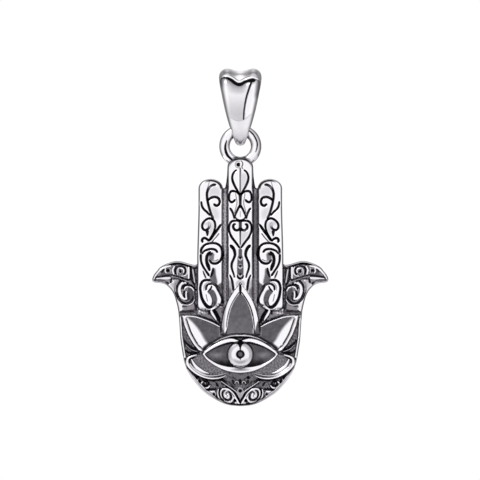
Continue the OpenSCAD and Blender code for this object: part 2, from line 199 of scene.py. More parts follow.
def in_parts(work, points, size=12000):
    """work done on the points a few thousand at a time, and joined, to spare memory."""
    parts = [work(points[i:i + size]) for i in range(0, len(points), size)]
    return [np.concatenate(p) for p in zip(*parts)]


palm_middle = np.array([[0.0, 200.0]])
print("the palm's middle is", nearest(palm_middle, edge_line)[0][0].round(1), "units from the outline")

# %% [markdown]
# ## The sheet of points
#
# The relief is one sheet: a grid of points over the hand, about half a unit
# apart, each with its own height. The grid's points that lie close to the
# outline are moved onto it, which gives a clean edge with no steps. After
# that no square of the grid is cut by the outline: it is either in, or out,
# or it loses one corner. A plane with a Displace modifier would give the same
# relief, but with a ragged edge, because its squares don't know the outline.

# %% Grid points, with those near the outline moved onto it
PITCH = 0.535
count_across = int(HALF_WIDE / PITCH) + 3
count_down = int(LENGTH / PITCH) + 4
grid_a, grid_d = np.meshgrid(np.arange(-count_across, count_across + 1) * PITCH,
                             np.arange(-2, count_down) * PITCH, indexing="ij")
side = np.where(grid_a.ravel() < 0, -1.0, 1.0)
points = np.stack([np.abs(grid_a.ravel()), grid_d.ravel()], 1)
inside = in_parts(lambda p: (is_inside(p, edge_line),), points)[0]
gap, _, on_edge = in_parts(lambda p: nearest(p, edge_line), points)
snapped = gap < PITCH / 2
points[snapped] = on_edge[snapped]
points[:, 0] = np.where(grid_a.ravel() == 0, 0.0, points[:, 0])
depth_in = np.where(snapped, 0.0, np.where(inside, gap, -gap))
A, D = points.T                  # across from the middle line, and down
X = A * side                     # the same, but below zero on the left
print(len(points), "points,", int((depth_in >= 0).sum()), "of them on the hand")

# %% [markdown]
# ## Tools for the relief
#
# Three arrays describe the hand's face: how high each point stands above the
# plate in millimetres, how dark its tarnish is from 0 to 1, and how satin its
# surface is. In many places the tarnish number also holds painted shade and
# painted highlights. Most of the tools below change all three at once, as a
# graver, a punch or a wax thread would, and a wash changes only the last two.
# The strokes could also be cut with booleans or faked with a bump, but
# hundreds of booleans are slow and fragile, and a bump has no edge to catch
# the light when the hand swings.

# %% Height, tarnish with painted shade, and satin of each point
GROUND_TARNISH, GROUND_SATIN = 0.62, 0.8
height = np.zeros(len(points))
tarnish = np.full(len(points), GROUND_TARNISH)
satin = np.full(len(points), GROUND_SATIN)


def near(line, reach):
    """Numbers of the points in the line's own rectangle, grown by reach."""
    low, high = line.min(0) - reach, line.max(0) + reach
    return np.flatnonzero((A > low[0]) & (A < high[0]) & (D > low[1]) & (D < high[1]))


def widths(width, share):
    """Width along a stroke: one number, or several spread evenly from its start to its end."""
    w = np.atleast_1d(np.asarray(width, float))
    return np.interp(share, np.linspace(0, 1, len(w)), w) if len(w) > 1 else np.full(len(share), w[0])


def mix(old, new, share):
    """Old where the share is 0, new where it is 1, and in proportion between."""
    return old + (new - old) * share


def whole(half):
    """A closed outline over the middle line from its right half, which starts and ends on that line."""
    half = np.asarray(half, float)
    return np.vstack([half, (half * (-1, 1))[-2:0:-1]])


CUT_REACH, LAY_REACH = 3.5, 4.0  # how far from its line a tool marks the hand at most, in units


def along(stroke, reach, only):
    """Points near a stroke, their distance from it, and the share of its length where they are nearest.

    With only at -1 or 1, the stroke is on the left or the right half alone.
    """
    line = sweep(stroke)
    at = near(line, reach)
    if only is not None:
        at = at[X[at] * only > 0]
    gap, share, _ = nearest(points[at], line)
    return at, gap, share


def cut(stroke, width, deep=0.2, black=0.97, only=None, pointed=True):
    """A groove along a smooth line: full depth and blackest within half its width, rising softly outside."""
    at, gap, share = along(stroke, CUT_REACH, only)
    taper = soft(np.minimum(share, 1 - share) / 0.05 + 0.6) if pointed else 1.0
    half = widths(width, share) / 2 * taper
    height[at] -= deep * soft((half + 0.75 - gap) / 1.3)
    ink = soft((half + 0.22 - gap) / 0.52)
    tarnish[at] = np.maximum(tarnish[at], black * ink)
    satin[at] = np.maximum(satin[at], ink)


def lay(stroke, width, top=0.42, tone=0.02, only=None):
    """A raised thread along a smooth line.

    Its section is 1 minus the fourth power of the share of half its width.
    """
    at, gap, share = along(stroke, LAY_REACH, only)
    half = widths(width, share) / 2 + 0.35
    outward = np.clip(gap / half, 0, 1)
    raised = np.maximum(height[at], mix(height[at], top, 1 - outward ** 4))
    height[at] = np.where(outward < 1, raised, height[at])
    skin = soft((half - gap) / 0.7)
    tarnish[at] = mix(tarnish[at], tone, skin)
    satin[at] = mix(satin[at], 0.0, skin)


def field(outline, smooth=True):
    """Points within a closed outline's rectangle, and how deep each lies inside it."""
    ring = sweep(outline, 4) if smooth else np.asarray(outline, float)
    ring = np.vstack([ring, ring[:1]])
    at = near(ring, LAY_REACH)
    inner = in_parts(lambda p: (is_inside(p, ring[:-1]),), points[at])[0]
    gap = in_parts(lambda p: nearest(p, ring)[:1], points[at])[0]
    return at, np.where(inner, gap, -gap)


def wash(outline, tone, blur=0.8, sheen=None, smooth=True, only=None, uneven=0.0):
    """Colours the inside of a closed outline with one tone, patina in some places and painted shade in
    others: soft over blur units, stippled if uneven.
    """
    at, within = field(outline, smooth)
    share = soft((within + blur / 2) / blur)
    if only is not None:
        share = share * (X[at] * only > 0)
    tarnish[at] = mix(tarnish[at], tone - uneven * stipple[at], share)
    if sheen is not None:
        satin[at] = mix(satin[at], sheen, share)


def pit(across, down, radius, deep=0.15, black=0.96, only=None):
    """A round punched dot."""
    cut([(across - 0.05, down), (across + 0.05, down)], 2 * radius, deep, black, only, pointed=False)


print("the tools work on three arrays of", len(height), "numbers")

# %% [markdown]
# ## The dark ground
#
# Between the raised parts the plate is stippled with a punch and left black.
# The stipple is a sum of waves in many directions, which is uneven enough to
# look struck by hand, and it is the same on every run. A noise texture could
# do this in the material, but here the same numbers also shape the surface.

# %% Stippled ground
WAVES = 40
STIPPLE_HIGH = 0.035             # height of the stipple over and under the plate, in mm
STIPPLE_TONE = 0.13              # how much lighter its tops are, and darker its hollows
draw = np.random.RandomState(7).uniform
heading = draw(0, 6.28, WAVES)
pace = draw(1.4, 3.1, WAVES)
phase = draw(0, 6.28, WAVES)
stipple = sum(np.cos(p * (np.cos(h) * X + np.sin(h) * D) + s) for h, p, s in zip(heading, pace, phase))
stipple = np.clip(stipple / 8.0, -1, 1)
height += STIPPLE_HIGH * stipple
tarnish -= STIPPLE_TONE * stipple
print("stipple from", stipple.min().round(2), "to", stipple.max().round(2))

# %% [markdown]
# ## Three fingers
#
# The fingers are bars with a flat, bright face and a rounded edge, and the
# narrow gaps between them stay dark. Across the edge the height follows a
# quarter circle: full height times the root of 1 minus the square of what is
# left to the edge. A bar could be a curve with depth and a bevel, but then
# the engraving would have to be cut through its faces. On the sheet it is one
# more change of height.

# %% Finger bars
RELIEF = 0.70                    # height of the finger faces over the plate, in mm
EDGE = 2.3                       # width of their rounded edge, in units
CROWN = 0.03                     # how much lower a face is along its edge than in its middle
CROWN_REACH = 11                 # how far in from the edge a face still rises, in units
WEB_HIGH, WEB_HALF = 0.2, 2.6    # height of the web between two fingers, and half its width
FINGER_END = 150                 # bars and gaps are drawn down to here, where the palm covers them


def shoulder(within, reach):
    """Quarter circle from 0 at the edge to 1 at reach units inside."""
    return np.sqrt(1 - (1 - np.clip(within / reach, 0, 1)) ** 2)


def finger(outline):
    """A bar with a rounded edge, darkened there by a painted shade, and a bright face that is highest in its
    middle; a painted shade also darkens the plate beside it.
    """
    at, within = field(outline, smooth=False)
    inner = within > 0
    face = RELIEF * shoulder(within, EDGE) - CROWN * np.clip(1 - within / CROWN_REACH, 0, 1) ** 2
    height[at] = np.where(inner, np.maximum(height[at], face), height[at])
    # Painted shade: dark on the rounded edge, bright on the face
    skin = soft((within + 0.1) / 1.3)
    tarnish[at] = np.where(inner, mix(0.75, 0.0, skin), tarnish[at])
    satin[at] = np.where(inner, 1 - skin, satin[at])
    # Painted shade on the plate just beside the bar
    beside = ~inner & (within > -1.2) & (tarnish[at] > 0.3)
    painted_corner_shade = 0.84 - 0.2 * (D[at] > 105)
    tarnish[at] = np.where(beside, mix(tarnish[at], painted_corner_shade, soft(1 + within / 1.2)), tarnish[at])


# The web between two fingers lies a little higher than the plate, and lighter.
web_mid = (MID_HALF + SIDE_MID - SIDE_HALF) / 2
web = soft((WEB_HALF - np.abs(A - web_mid)) / 1.2) * (D > SIDE_TOP) * (D < FINGER_END)
height = mix(height, WEB_HIGH + 0.02 * stipple, web)
tarnish = mix(tarnish, 0.48 - 0.1 * stipple, web)
down = np.linspace(SIDE_TOP + TIP_HEIGHT, 140, 24)
middle_tip = fingertip(0, MID_HALF, 0, TIP_HEIGHT, 180, 0)
side_tip = fingertip(SIDE_MID, SIDE_HALF, SIDE_TOP, TIP_HEIGHT, 180, 0)
side_foot = sweep([(43.1, 141), (43.1, 148.5), (41.8, 152), (38.5, 153.8), (32, 154.6), (27, 153.6),
                   (22.4, 151.2), (19.2, 147.2), (17.5, 142)])
finger(np.vstack([middle_tip, [(MID_HALF, FINGER_END), (-MID_HALF, FINGER_END)]]))
finger(np.vstack([side_tip, np.stack([side_edge(down), down], 1), side_foot]))
print("finger faces stand", height.max().round(2), "mm above the plate")

# %% [markdown]
# ## Engraving of the middle finger
#
# A bud, two hooks on a stem, a heart with curls, a pair of wavy lines and a
# beaded channel between them. Each stroke is a few points and a width, and
# the mirror half comes by itself, because the sheet counts across from the
# middle line to either side.

# %% Strokes of the middle finger
for stroke, width, deep, black in [
    # Bud and its vein
    ([(3.8, 13), (6.5, 15.5), (8, 19.5), (7.6, 24), (5.5, 29), (3, 33.5), (0.8, 37)],
     (1.4, 2, 1.8), 0.2, 0.97),
    ([(0, 11), (0, 18), (0, 26), (0, 35)], (1.4, 1.4), 0.12, 0.62),
    # Hook
    ([(1, 37), (4, 34.8), (7.8, 34), (10.3, 35.6), (11.4, 39.5), (11, 43.3), (8.9, 45.2), (6.6, 44.4),
      (5.2, 42.8)], 2, 0.2, 0.97),
    ([(4.7, 36.5), (4, 41), (3.3, 46), (4.5, 51), (5.8, 56.5)], 1, 0.08, 0.5),
    # Stem, and the fork below it
    ([(0, 37), (0, 43), (0, 50)], (3.4, 2.4, 2.2), 0.16, 0.85),
    ([(0.6, 49), (2.2, 51.5), (3.8, 55), (5.4, 59)], (2, 1.8, 1.4), 0.2, 0.95),
    ([(10.2, 51.3), (8.3, 54), (6.8, 57.6), (5.9, 61.5)], (2, 1.8, 1.5), 0.2, 0.92),
    ([(5.4, 60), (3, 62.5), (0, 63.5)], 1.6, 0.14, 0.85),
    ([(0, 54), (0, 60)], 1, 0.06, 0.4),
    # Heart, and the curl in it
    ([(0.6, 63.9), (4, 63.6), (8, 64.2), (10.7, 67), (11.5, 71), (10.8, 75.5), (8.3, 80.5), (4.5, 85.5),
      (0.5, 90.8)], (1.8, 2.1, 2.1, 1.8), 0.2, 0.97),
    ([(0.3, 71.8), (3, 73.3), (5.6, 72.6), (7.1, 70), (6.6, 67.7), (5.2, 67.2)], 2.1, 0.2, 0.97),
    ([(0, 64), (0, 68), (0, 73)], 3, 0.14, 0.75),
    ([(0, 73), (0, 80), (0, 88)], (1.6, 1.2, 1), 0.14, 0.85),
    # Wavy line beside the channel, and the lower strokes
    ([(9.6, 88.6), (7.2, 91), (5.8, 94), (5.3, 98), (6.6, 101.8), (8.3, 105.8), (8.7, 109.5), (7.9, 113.3),
      (6.6, 117), (5.7, 120.6)], (3, 2.6, 2, 2, 1.6, 1.1), 0.2, 0.97),
    ([(10.6, 118), (8.6, 122), (7.6, 127), (6.8, 133.5)], (1.4, 2, 2), 0.2, 0.95),
]:
    cut(stroke, width, deep, black)
# The dot at the tip is left of the middle line, with a short arc right of it.
bend = np.linspace(0, 2 * np.pi, 9)
cut(np.stack([1.8 + 3.4 * np.cos(bend), 7.6 + 3.4 * np.sin(bend)], 1), 0.7, 0.03, 0.6, only=-1)
pit(1.8, 7.7, 2.0, 0.16, 0.97, only=-1)
cut([(0.5, 3.6), (2.2, 5.6), (2.4, 7.8), (1.5, 10), (2.6, 12)], (0.8, 1.1, 1), 0.1, 0.72, only=1)
# Painted soft shades on the right half of the bud and of the heart
wash([(0.5, 17), (4.4, 16.5), (6.4, 20), (5.6, 26), (3, 31), (0.5, 34)], 0.11, 4, only=1)
wash([(0.5, 76), (4, 74), (8, 73), (7.5, 78), (4, 83.5), (0.5, 87)], 0.12, 4.5, only=1)
wash(whole([(0, 91.6), (1.7, 92.5), (1.8, 98), (2.8, 102), (3, 118), (0, 121)]), 0.64, 0.7, 0.8)
for down in (100.6, 108.8, 117):
    lay([(0.3, down + 2.7), (1.9, down + 1.1)], 0.9, RELIEF - 0.02, 0.05)
    pit(0, down, 1.0)
lay([(0, 106.9), (1.2, 107.8)], 0.7, RELIEF - 0.02, 0.25)
cut([(2.9, 118.2), (2, 120.7), (0, 121.7)], (1.1, 1.6), 0.2, 0.97)
# A shade and a last dot over the tip of the lotus
wash(whole([(0, 122.6), (3, 123.6), (4.6, 127), (3, 130), (0, 130)]), 0.2, 1.6)
pit(0, 126.8, 1.3)
face_here = (A < MID_HALF - EDGE) & (D < 120)
print("middle finger:", round(100 * (tarnish[face_here] > 0.5).mean()), "per cent of its face is dark")

# %% [markdown]
# ## Engraving of the side fingers
#
# Each side finger carries a stem with a hook, a leaf that rolls up, a bar, a
# large scroll with a dark heart, and a lower scroll that folds over itself.

# %% Strokes of the side fingers
for stroke, width, deep, black in [
    # Stem, hook and branch
    ([(24.7, 27.8), (26.7, 27.8), (29.7, 29.5), (32, 32.5), (33.2, 36.5), (33, 41), (32.2, 46), (30.7, 52),
      (29.2, 57), (27.2, 61)], (2.2, 2.1, 2, 2, 2.2), 0.2, 0.97),
    ([(30.5, 24), (32, 29), (33, 33)], 0.9, 0.06, 0.45),
    ([(31.7, 42.8), (29.7, 41.2), (26.7, 40), (23.7, 40.2), (21.2, 42), (20.4, 45), (21.5, 47.7), (24, 48.7),
      (26.1, 47.2)], 2.2, 0.2, 0.97),
    ([(39, 44.8), (38.2, 49), (36.1, 52.5), (33.2, 55), (30.4, 58)], (1.7, 1.9, 2), 0.2, 0.95),
    # Leaf that rolls up, with a wedge under it
    ([(27.4, 62.3), (30.7, 61.3), (34.2, 62.8), (37.2, 66), (38, 69.5), (36.7, 72.4), (34.2, 73),
      (31.7, 71.3), (30.6, 68.5), (31, 66)], (2, 1.9, 1.9, 2, 2), 0.2, 0.97),
    ([(27.6, 62.2), (25.5, 65), (25, 70), (26.2, 75), (28.2, 79.5), (30.2, 83)], 1.8, 0.2, 0.95),
    ([(32.8, 74.3), (32.8, 79.2)], (3.2, 0.8), 0.2, 0.95),
    # Bars
    ([(19.2, 67.8), (21.7, 71), (24.7, 75), (27.7, 79), (30.6, 83.2)], (2.2, 2.6, 2.4), 0.2, 0.96),
    ([(21.2, 76.4), (24.7, 81), (28.2, 84.8)], 1.1, 0.1, 0.8),
    # Curl over the large scroll
    ([(31.2, 84), (34.2, 81.4), (36.7, 81.2), (38.1, 83), (37.6, 85)], (1.8, 2.2, 2.1), 0.2, 0.96),
    # Large scroll, its double foot and its inner arcs
    ([(39.2, 95.5), (38.5, 91.5), (35.7, 88.3), (31.7, 86.5), (27.2, 86), (22.7, 87), (19.2, 90),
      (17.9, 94.5), (17.9, 99), (19.5, 103), (22.2, 105.6), (25.7, 106.5), (28.7, 105.6), (31, 103)],
     (2.2, 2, 2, 2.4, 2.4, 2), 0.2, 0.96),
    ([(21.9, 102.3), (24.5, 103.7), (27.5, 103.9)], 0.9, 0.08, 0.7),
    ([(22.9, 95.2), (24.7, 92.9), (28.2, 92), (32.2, 92.5), (35.7, 94), (38.4, 96.8)],
     (2, 2, 1.6), 0.2, 0.96),
    ([(29.8, 94.6), (32.5, 97.5), (33.5, 101.5), (33, 106), (31.6, 110), (30.6, 113.4)],
     (1.4, 2.6, 2.8, 3.4, 2), 0.2, 0.96),
    ([(39.4, 97.5), (39.1, 104), (37.2, 109.2), (34.2, 114), (31, 118.6)], (2, 1.8, 1.8, 2), 0.2, 0.96),
    # Lower scroll: ring, hook that runs into the edge, its grey shadow, and the slits
    ([(29.7, 123.5), (33.2, 122.9), (36.3, 123.6), (38.6, 125.8), (40, 130.2), (39.7, 134.8), (38.3, 141),
      (35.8, 146), (32.9, 149.3), (30.2, 150.2), (27.5, 148.6), (25.8, 145.2)],
     (2.2, 2.2, 2.3, 2.6, 3.2, 2), 0.2, 0.97),
    ([(34.2, 133), (33.9, 129.6), (31.8, 127.4), (28.3, 126.7), (24.3, 128.3), (20.9, 133.6), (18.4, 140.2),
      (17.3, 146)], (1.6, 2, 1.8, 2.4, 3.4, 2.6, 1.8, 1.4), 0.2, 0.88),
    ([(36.1, 134), (36, 129.6), (33.8, 126.2), (30.8, 125.2)], (0.5, 1, 0.6), 0.06, 0.5),
    ([(28.4, 128.8), (29.6, 131.8), (32.4, 135)], (1.2, 1.8, 1.1), 0.14, 0.95),
    ([(34, 137.4), (33.4, 141), (32.4, 144.4)], 0.9, 0.08, 0.6),
    ([(37.2, 113.6), (36, 117), (34.2, 121)], (0.8, 1.5, 1.2), 0.14, 0.9),
]:
    cut(stroke, width, deep, black)
wash([(25.8, 97), (28.2, 96), (30.8, 98), (31.2, 101.5), (29.5, 104), (26.5, 103)], 0.5, 1.2, 0.5)
wash([(27, 95.6), (30, 95.6), (31.5, 98.6), (28.4, 98.2)], 0.88, 1.0)
wash([(26.2, 111.5), (24.9, 112), (24.3, 118), (22.9, 126.6), (28.3, 126.8), (30.4, 123), (29.6, 119.4),
      (27.4, 116)], 0.58, 2.0, 0.5)
cut([(26.9, 111), (27.9, 116), (29.6, 120)], (1.2, 2.2, 1.4), 0.2, 0.9)
wash([(32.4, 135.8), (30.2, 133.3), (27.5, 132.6), (25.3, 134.8), (23.6, 139), (23, 143), (24, 147.4),
      (26.6, 149.6), (29, 148.6), (28.6, 146.4), (28.2, 144.2), (28.7, 141), (30.4, 137.4)], 0.62, 0.7, 0.6)
cut([(31, 135.4), (29, 139), (27.6, 143), (28, 147)], (0.6, 1, 0.9), 0.1, 0.85)
# Painted soft shades on the faces and in the two gaps, the left gap lighter than the right, and a stippled
# darker tone over the feet
gap_floor = [(13.6, 40), (16.8, 40), (16.8, 96), (13.6, 96)]
wash(gap_floor, 0.35, 1.6, only=-1, uneven=0.1)
wash(gap_floor, 0.6, 1.6, only=1)
wash([(16.9, 120.4), (19, 125.4), (22.4, 128.4), (20.2, 134.6), (17.6, 140), (16.8, 130)], 0.58, 1.5)
wash([(13, 121.5), (9.8, 124), (8.6, 129), (8.4, 141), (13, 142)], 0.26, 3, 0.3)
wash([(13, 129.5), (9.4, 132), (8.4, 136), (8.6, 142), (13, 142)], 0.52, 3.4, 0.5)
wash([(30.6, 30), (25, 29.5), (20.5, 33), (20, 38.5), (27, 38.3), (31, 40)], 0.12, 5.5)
wash([(29.5, 50), (24.5, 51), (21, 56), (22.5, 62), (26.5, 60.5)], 0.11, 5.5)
wash([(36, 67), (33, 64), (28, 66), (27.2, 73), (30, 77), (31, 70)], 0.14, 4.5)
wash([(44, 149.4), (38, 151), (31.5, 151.8), (30, 153.4), (31, 157), (44, 157)], 0.44, 3, 0.5, uneven=0.34)
wash([(24.4, 147.8), (19.6, 146), (18.6, 150), (21, 156), (25, 153)], 0.45, 2.5, 0.5, uneven=0.5)
print("engraved depth reaches", (RELIEF - height[(D < 150) & (A < 12)].min()).round(2), "mm")

# %% [markdown]
# ## The thumbs
#
# The thumbs turn outwards like two leaves. Here the caster laid threads of
# wax on a dark plate, so the raised lines are drawn first and the black lines
# between them after. Pipes along curves could stand for the threads, but laid
# into the sheet they melt into the plate, as wax does.

# %% Raised and cut lines of the thumbs
THREAD = 0.42
thumb_ground = [(44.5, 109), (50, 109.5), (58, 107), (66, 106.5), (74, 108.5), (81, 113), (85.5, 120),
                (80, 124), (73, 127), (67, 132), (63, 140), (60, 154), (44.5, 154)]
at, within = field(thumb_ground)
wash(thumb_ground, 0.46, 1.5, 0.7)
height[at] += 0.22 * soft(within / 2)
# The flank below the thumb is bare silver, as is the leaf of its tip.
flank = [(73.5, 127.6), (70, 125.6), (66.5, 123.6), (63.2, 123.9), (65, 129), (64.9, 134), (63.2, 139.5),
         (61, 143.2), (58.4, 146.4), (57.4, 149), (57.6, 154), (63.4, 155), (66, 141), (70, 132)]
at, within = field(flank)
height[at] = mix(height[at], 0.36, soft(within / 1.2))
wash(flank, 0.04, 1.0, 0.0)
wash([(71, 124.6), (67, 123.4), (63, 123.6), (64.6, 129), (64.6, 133), (67.4, 131), (70, 127.6)], 0.2, 2.6)
wash([(65.2, 124), (62.6, 123.8), (64.2, 129), (64, 134.4), (66, 133), (66.6, 128.4)], 0.38, 2)
for stroke, width, tone in [
    # Crescent along the upper edge, and the comma by the bead
    ([(85.9, 121.5), (84, 117.2), (80.6, 113.2), (75.6, 110), (69.6, 108.9)], (1.6, 3, 3.4, 1.8), 0.02),
    ([(74.4, 112.2), (75, 114), (73.9, 115.6)], 1.3, 0.03),
    ([(70.4, 111.6), (69.6, 113.6), (70.2, 115.6)], 0.9, 0.25),
    # Rings of the upper spiral
    ([(65.6, 109.4), (67, 111.7), (67.2, 114.2), (66.4, 117.2)], (1.4, 2, 1.8), 0.02),
    ([(62.5, 117.8), (63, 114.6), (62.2, 112), (60.3, 110.9), (58, 111.4)], 1.3, 0.2),
    ([(59.3, 111.4), (57.3, 111.8), (56.4, 113.4), (56.8, 115.4)], 1.5, 0.02),
    ([(61.4, 113), (61.2, 115.2), (59.4, 116.8)], 0.9, 0.25),
    ([(54.2, 109.8), (53, 113), (53.5, 116.7), (55.3, 118.6), (58.5, 119.2)], 1.1, 0.08),
    # Bar beside the finger, and the lighter one in the gap
    ([(51.5, 110.4), (51.4, 115), (51.6, 121.4)], 2, 0.02),
    ([(47.4, 113), (46.4, 119), (45.4, 125.5)], 1.6, 0.2),
    # Leaf of the tip
    ([(83.6, 121.6), (78, 121.1), (73.6, 121.2), (70.4, 121)], (1, 2, 3, 2.4), 0.08),
    # Lower scroll: body, hooks, tongue and outer ring
    ([(57.6, 125.6), (60, 128.8), (60.8, 133), (59.9, 137.4), (57.4, 141), (54.4, 142.4)],
     (1.6, 3, 3.4, 3, 1.5), 0.02),
    ([(57.6, 127), (55, 125.7), (53.6, 126.7)], 1.3, 0.04),
    ([(56.4, 132.8), (54.4, 130.3), (52.2, 129.7)], 1.5, 0.02),
    ([(50.1, 129.9), (48, 131), (46.2, 133.6)], 1.6, 0.02),
    ([(53.8, 134.8), (54.1, 138.4), (53.5, 142.2)], 1.7, 0.02),
    ([(57.6, 147.6), (52.3, 148.2), (48.1, 146.4), (45.6, 142.5)], 1, 0.15),
]:
    lay(stroke, width, THREAD, tone)
for stroke, width, black in [
    ([(86.4, 119), (84.6, 115), (81.4, 111.3), (76.9, 108.8), (71.8, 107.5), (65.3, 106.7), (58.3, 107.2),
      (52.8, 108.5), (49.8, 109.8)], (0.9, 1.7, 1.9, 1.6, 1.2), 0.93),
    ([(84.8, 120.4), (79.3, 119.8), (74.6, 119), (70.6, 118.3), (67.3, 118.2), (62.3, 119.7), (57.3, 121.4),
      (52.3, 122.7), (49.8, 122.4)], (1, 1.4, 1.3, 1.4, 1.6), 0.9),
    ([(64.3, 117.3), (65.2, 113.2), (63.8, 109.9), (60.3, 109), (56.8, 109.6), (54.8, 112), (54.8, 115),
      (56.3, 117.6)], 1.2, 0.97),
    ([(49.2, 110), (49.4, 117), (48.5, 123), (45.4, 128.5)], (1.4, 1.8, 1.8), 0.9),
    ([(47.3, 111), (44.3, 111.2)], 1.3, 0.9),
    ([(68, 120.7), (69.8, 125.6)], (1, 1.8), 0.95),
    ([(74.4, 124.8), (71.9, 126.2)], (0.8, 1.5), 0.9),
    ([(82.3, 123.7), (75.3, 124)], 0.8, 0.55),
    ([(67, 121.6), (61.3, 121.9), (59.3, 124)], 1.2, 0.75),
    ([(59.5, 123.8), (62, 127), (63.3, 131), (63.1, 136), (61.5, 140.5), (58.8, 144.5), (55.3, 146.4),
      (51.3, 145.6), (48, 142.8), (46.7, 139.3)], (1.3, 1.5, 1.6, 1.6, 1.3), 0.97),
    ([(56.8, 132.5), (56.9, 129.5), (54.3, 127.9), (50.3, 128.4), (46.8, 130), (44.8, 133.5)], 1.7, 0.97),
    ([(59, 123.6), (55.8, 124)], 1.3, 0.85),
    ([(55.8, 134), (56.3, 137), (55.5, 140.5)], 1.4, 0.95),
    ([(54.8, 143.6), (52.3, 142.8), (51.8, 139.5), (52.3, 136)], 1.2, 0.8),
    ([(59.3, 154.7), (53.3, 154.9), (49.3, 155.7), (44.8, 155.8)], 1.1, 0.9),
    ([(44, 148), (43.9, 153), (43, 157)], (0.8, 1.2, 0.8), 0.9),
    ([(57.3, 149.6), (53.3, 149)], 0.9, 0.7),
]:
    cut(stroke, width, 0.12, black)
wash([(51.6, 130.6), (48.6, 132.4), (46.8, 135.8), (47, 140), (49.4, 142.8), (51.2, 142.6), (51.6, 138),
      (52.6, 134)], 0.68, 0.9)
wash([(82.2, 119.4), (78.4, 116.4), (76.6, 113.6), (74.9, 116.3), (70.6, 117.4), (76.3, 118.8)], 0.64, 0.9)
cut([(76, 112), (77.1, 113.2), (78.8, 115.8)], (0.8, 1.6, 0.8), 0.1, 0.84)
wash([(85.6, 124), (81, 123.4), (76.4, 124.2), (74, 125.4), (76, 127), (82, 126)], 0.3, 1.4)
for across, down, size in [(72.1, 113.4, 1.3), (60, 114.6, 1.1), (52.6, 126.3, 0.9)]:
    pit(across, down, size)
thumbs = (A > 50) & (D > 110) & (D < 150)
print("threads of the thumbs stand", height[thumbs].max().round(2), "mm above the plate")

# %% [markdown]
# ## The lotus
#
# Five petals open behind the eye. Each has a bright, raised rim and a flat
# satin face, and a petal in front covers the ones behind it. So they are laid
# from the back to the front, each over what is there. The lotus could be five
# separate plates, but on the casting it is one skin with the palm, so it is
# drawn on the same sheet.

# %% Ground of the palm, and a petal's section
PETAL, LEAF = 0.60, 0.25         # heights of a petal's rim and of its face, in mm
PALM_TOP = 157                   # the palm's edge begins here, under the thumb
palm_ground = [(0, 150), (19, 165), (43, 154), (62, 155), (62, 215), (45, 235), (20, 250), (0, 252)]
wash(whole(palm_ground), 0.6, 0.8, 0.8, smooth=False)
tarnish -= 0.1 * stipple * ((D > PALM_TOP) & (tarnish > 0.4))


def petal(outline, rim, face):
    """A rim of half-round section round a flat face that lies lower, where face gives the tarnish."""
    at, within = field(outline, smooth=False)
    inner = within > 0
    ridge = np.clip(1 - np.abs(within - rim / 2) / (rim / 2), 0, 1)
    rounded = np.sqrt(1 - (1 - ridge) ** 2)
    level = np.where(within > rim / 2, mix(LEAF, PETAL, rounded), PETAL * rounded)
    height[at] = np.where(inner, level, height[at])
    bright = soft(within / 0.9) * soft((rim + 0.3 - within) / 0.8)
    body = mix(face(A[at], D[at]), 0.02, bright)
    tarnish[at] = np.where(inner, mix(0.8, body, soft(within / 0.8)), tarnish[at])
    satin[at] = np.where(inner, mix(0.45, 0.0, bright), satin[at])


print("a petal's face lies", round(PETAL - LEAF, 2), "mm below its rim")

# %% [markdown]
# The two petals furthest back only show beside the others, as black wedges
# with a bright edge between them.

# %% Petals furthest back
for stroke, width, black in [
    ([(56.2, 183.5), (52.5, 188), (48.5, 191), (42, 194)], (1.6, 3, 2.8, 1), 0.9),
    ([(55, 193), (51, 196), (41, 195.4)], (1.6, 3.2, 1.4), 0.95),
]:
    cut(stroke, width, 0.05, black)
lay([(54, 188), (49, 192.6), (43, 194.6)], 0.9, 0.3, 0.35)
lay([(58.2, 181), (57, 188), (55.9, 195), (54.8, 200)], 1.6, 0.4, 0.03)
wedges = (A > 44) & (D > 186) & (D < 197)
print("wedges: tarnish up to", tarnish[wedges].max().round(2), "on", int(wedges.sum()), "points")

# %% [markdown]
# The lower petals lie flat under the eye and are struck with the punch. Their
# rim is a long thread that thins out towards the middle, with a thin thread
# and a bright blade inside it.

# %% Lower petals
lower_petal = [(36, 197), (46.3, 198.4), (51.5, 199.8), (54, 203.5), (53, 208.5), (48.6, 214), (42.3, 218.4),
               (35.3, 221.4), (28.3, 222.6), (21, 222), (12, 219), (10, 201)]
at, within = field(lower_petal)
height[at] = np.where(within > 0, 0.2 + 0.02 * stipple[at], height[at])
tarnish[at] = np.where(within > 0, 0.545 - 0.1 * stipple[at], tarnish[at])
for stroke, width, top, tone in [
    # Rim, the thin line inside it, and the bright blade
    ([(43.5, 197.8), (49, 199.4), (52.3, 201.6), (53, 204.9), (51.7, 208.2), (48.6, 211.9), (44.2, 215.6),
      (39, 218.7), (34, 220.5), (29, 221.4), (22.8, 221.2), (17.8, 220), (14.4, 218.4)],
     (1, 2.4, 3, 3, 2.8, 2.2, 1.9, 1.6, 1.2, 0.4), PETAL, 0.02),
    ([(50.2, 206.5), (47.4, 210.6), (43, 214.3), (38, 217), (32, 218.7), (25.3, 218.7), (18.4, 217.5),
      (13.6, 216.2)], (1, 1.5, 1.5, 1.2, 0.9, 0.4), 0.45, 0.14),
    ([(48.6, 202.4), (47.3, 205), (45, 208.8), (41.6, 212), (36.4, 214.9), (31.4, 216.3)],
     (1.4, 2.8, 3.8, 3.8, 2.4, 0.8), 0.45, 0.02),
]:
    lay(stroke, width, top, tone)
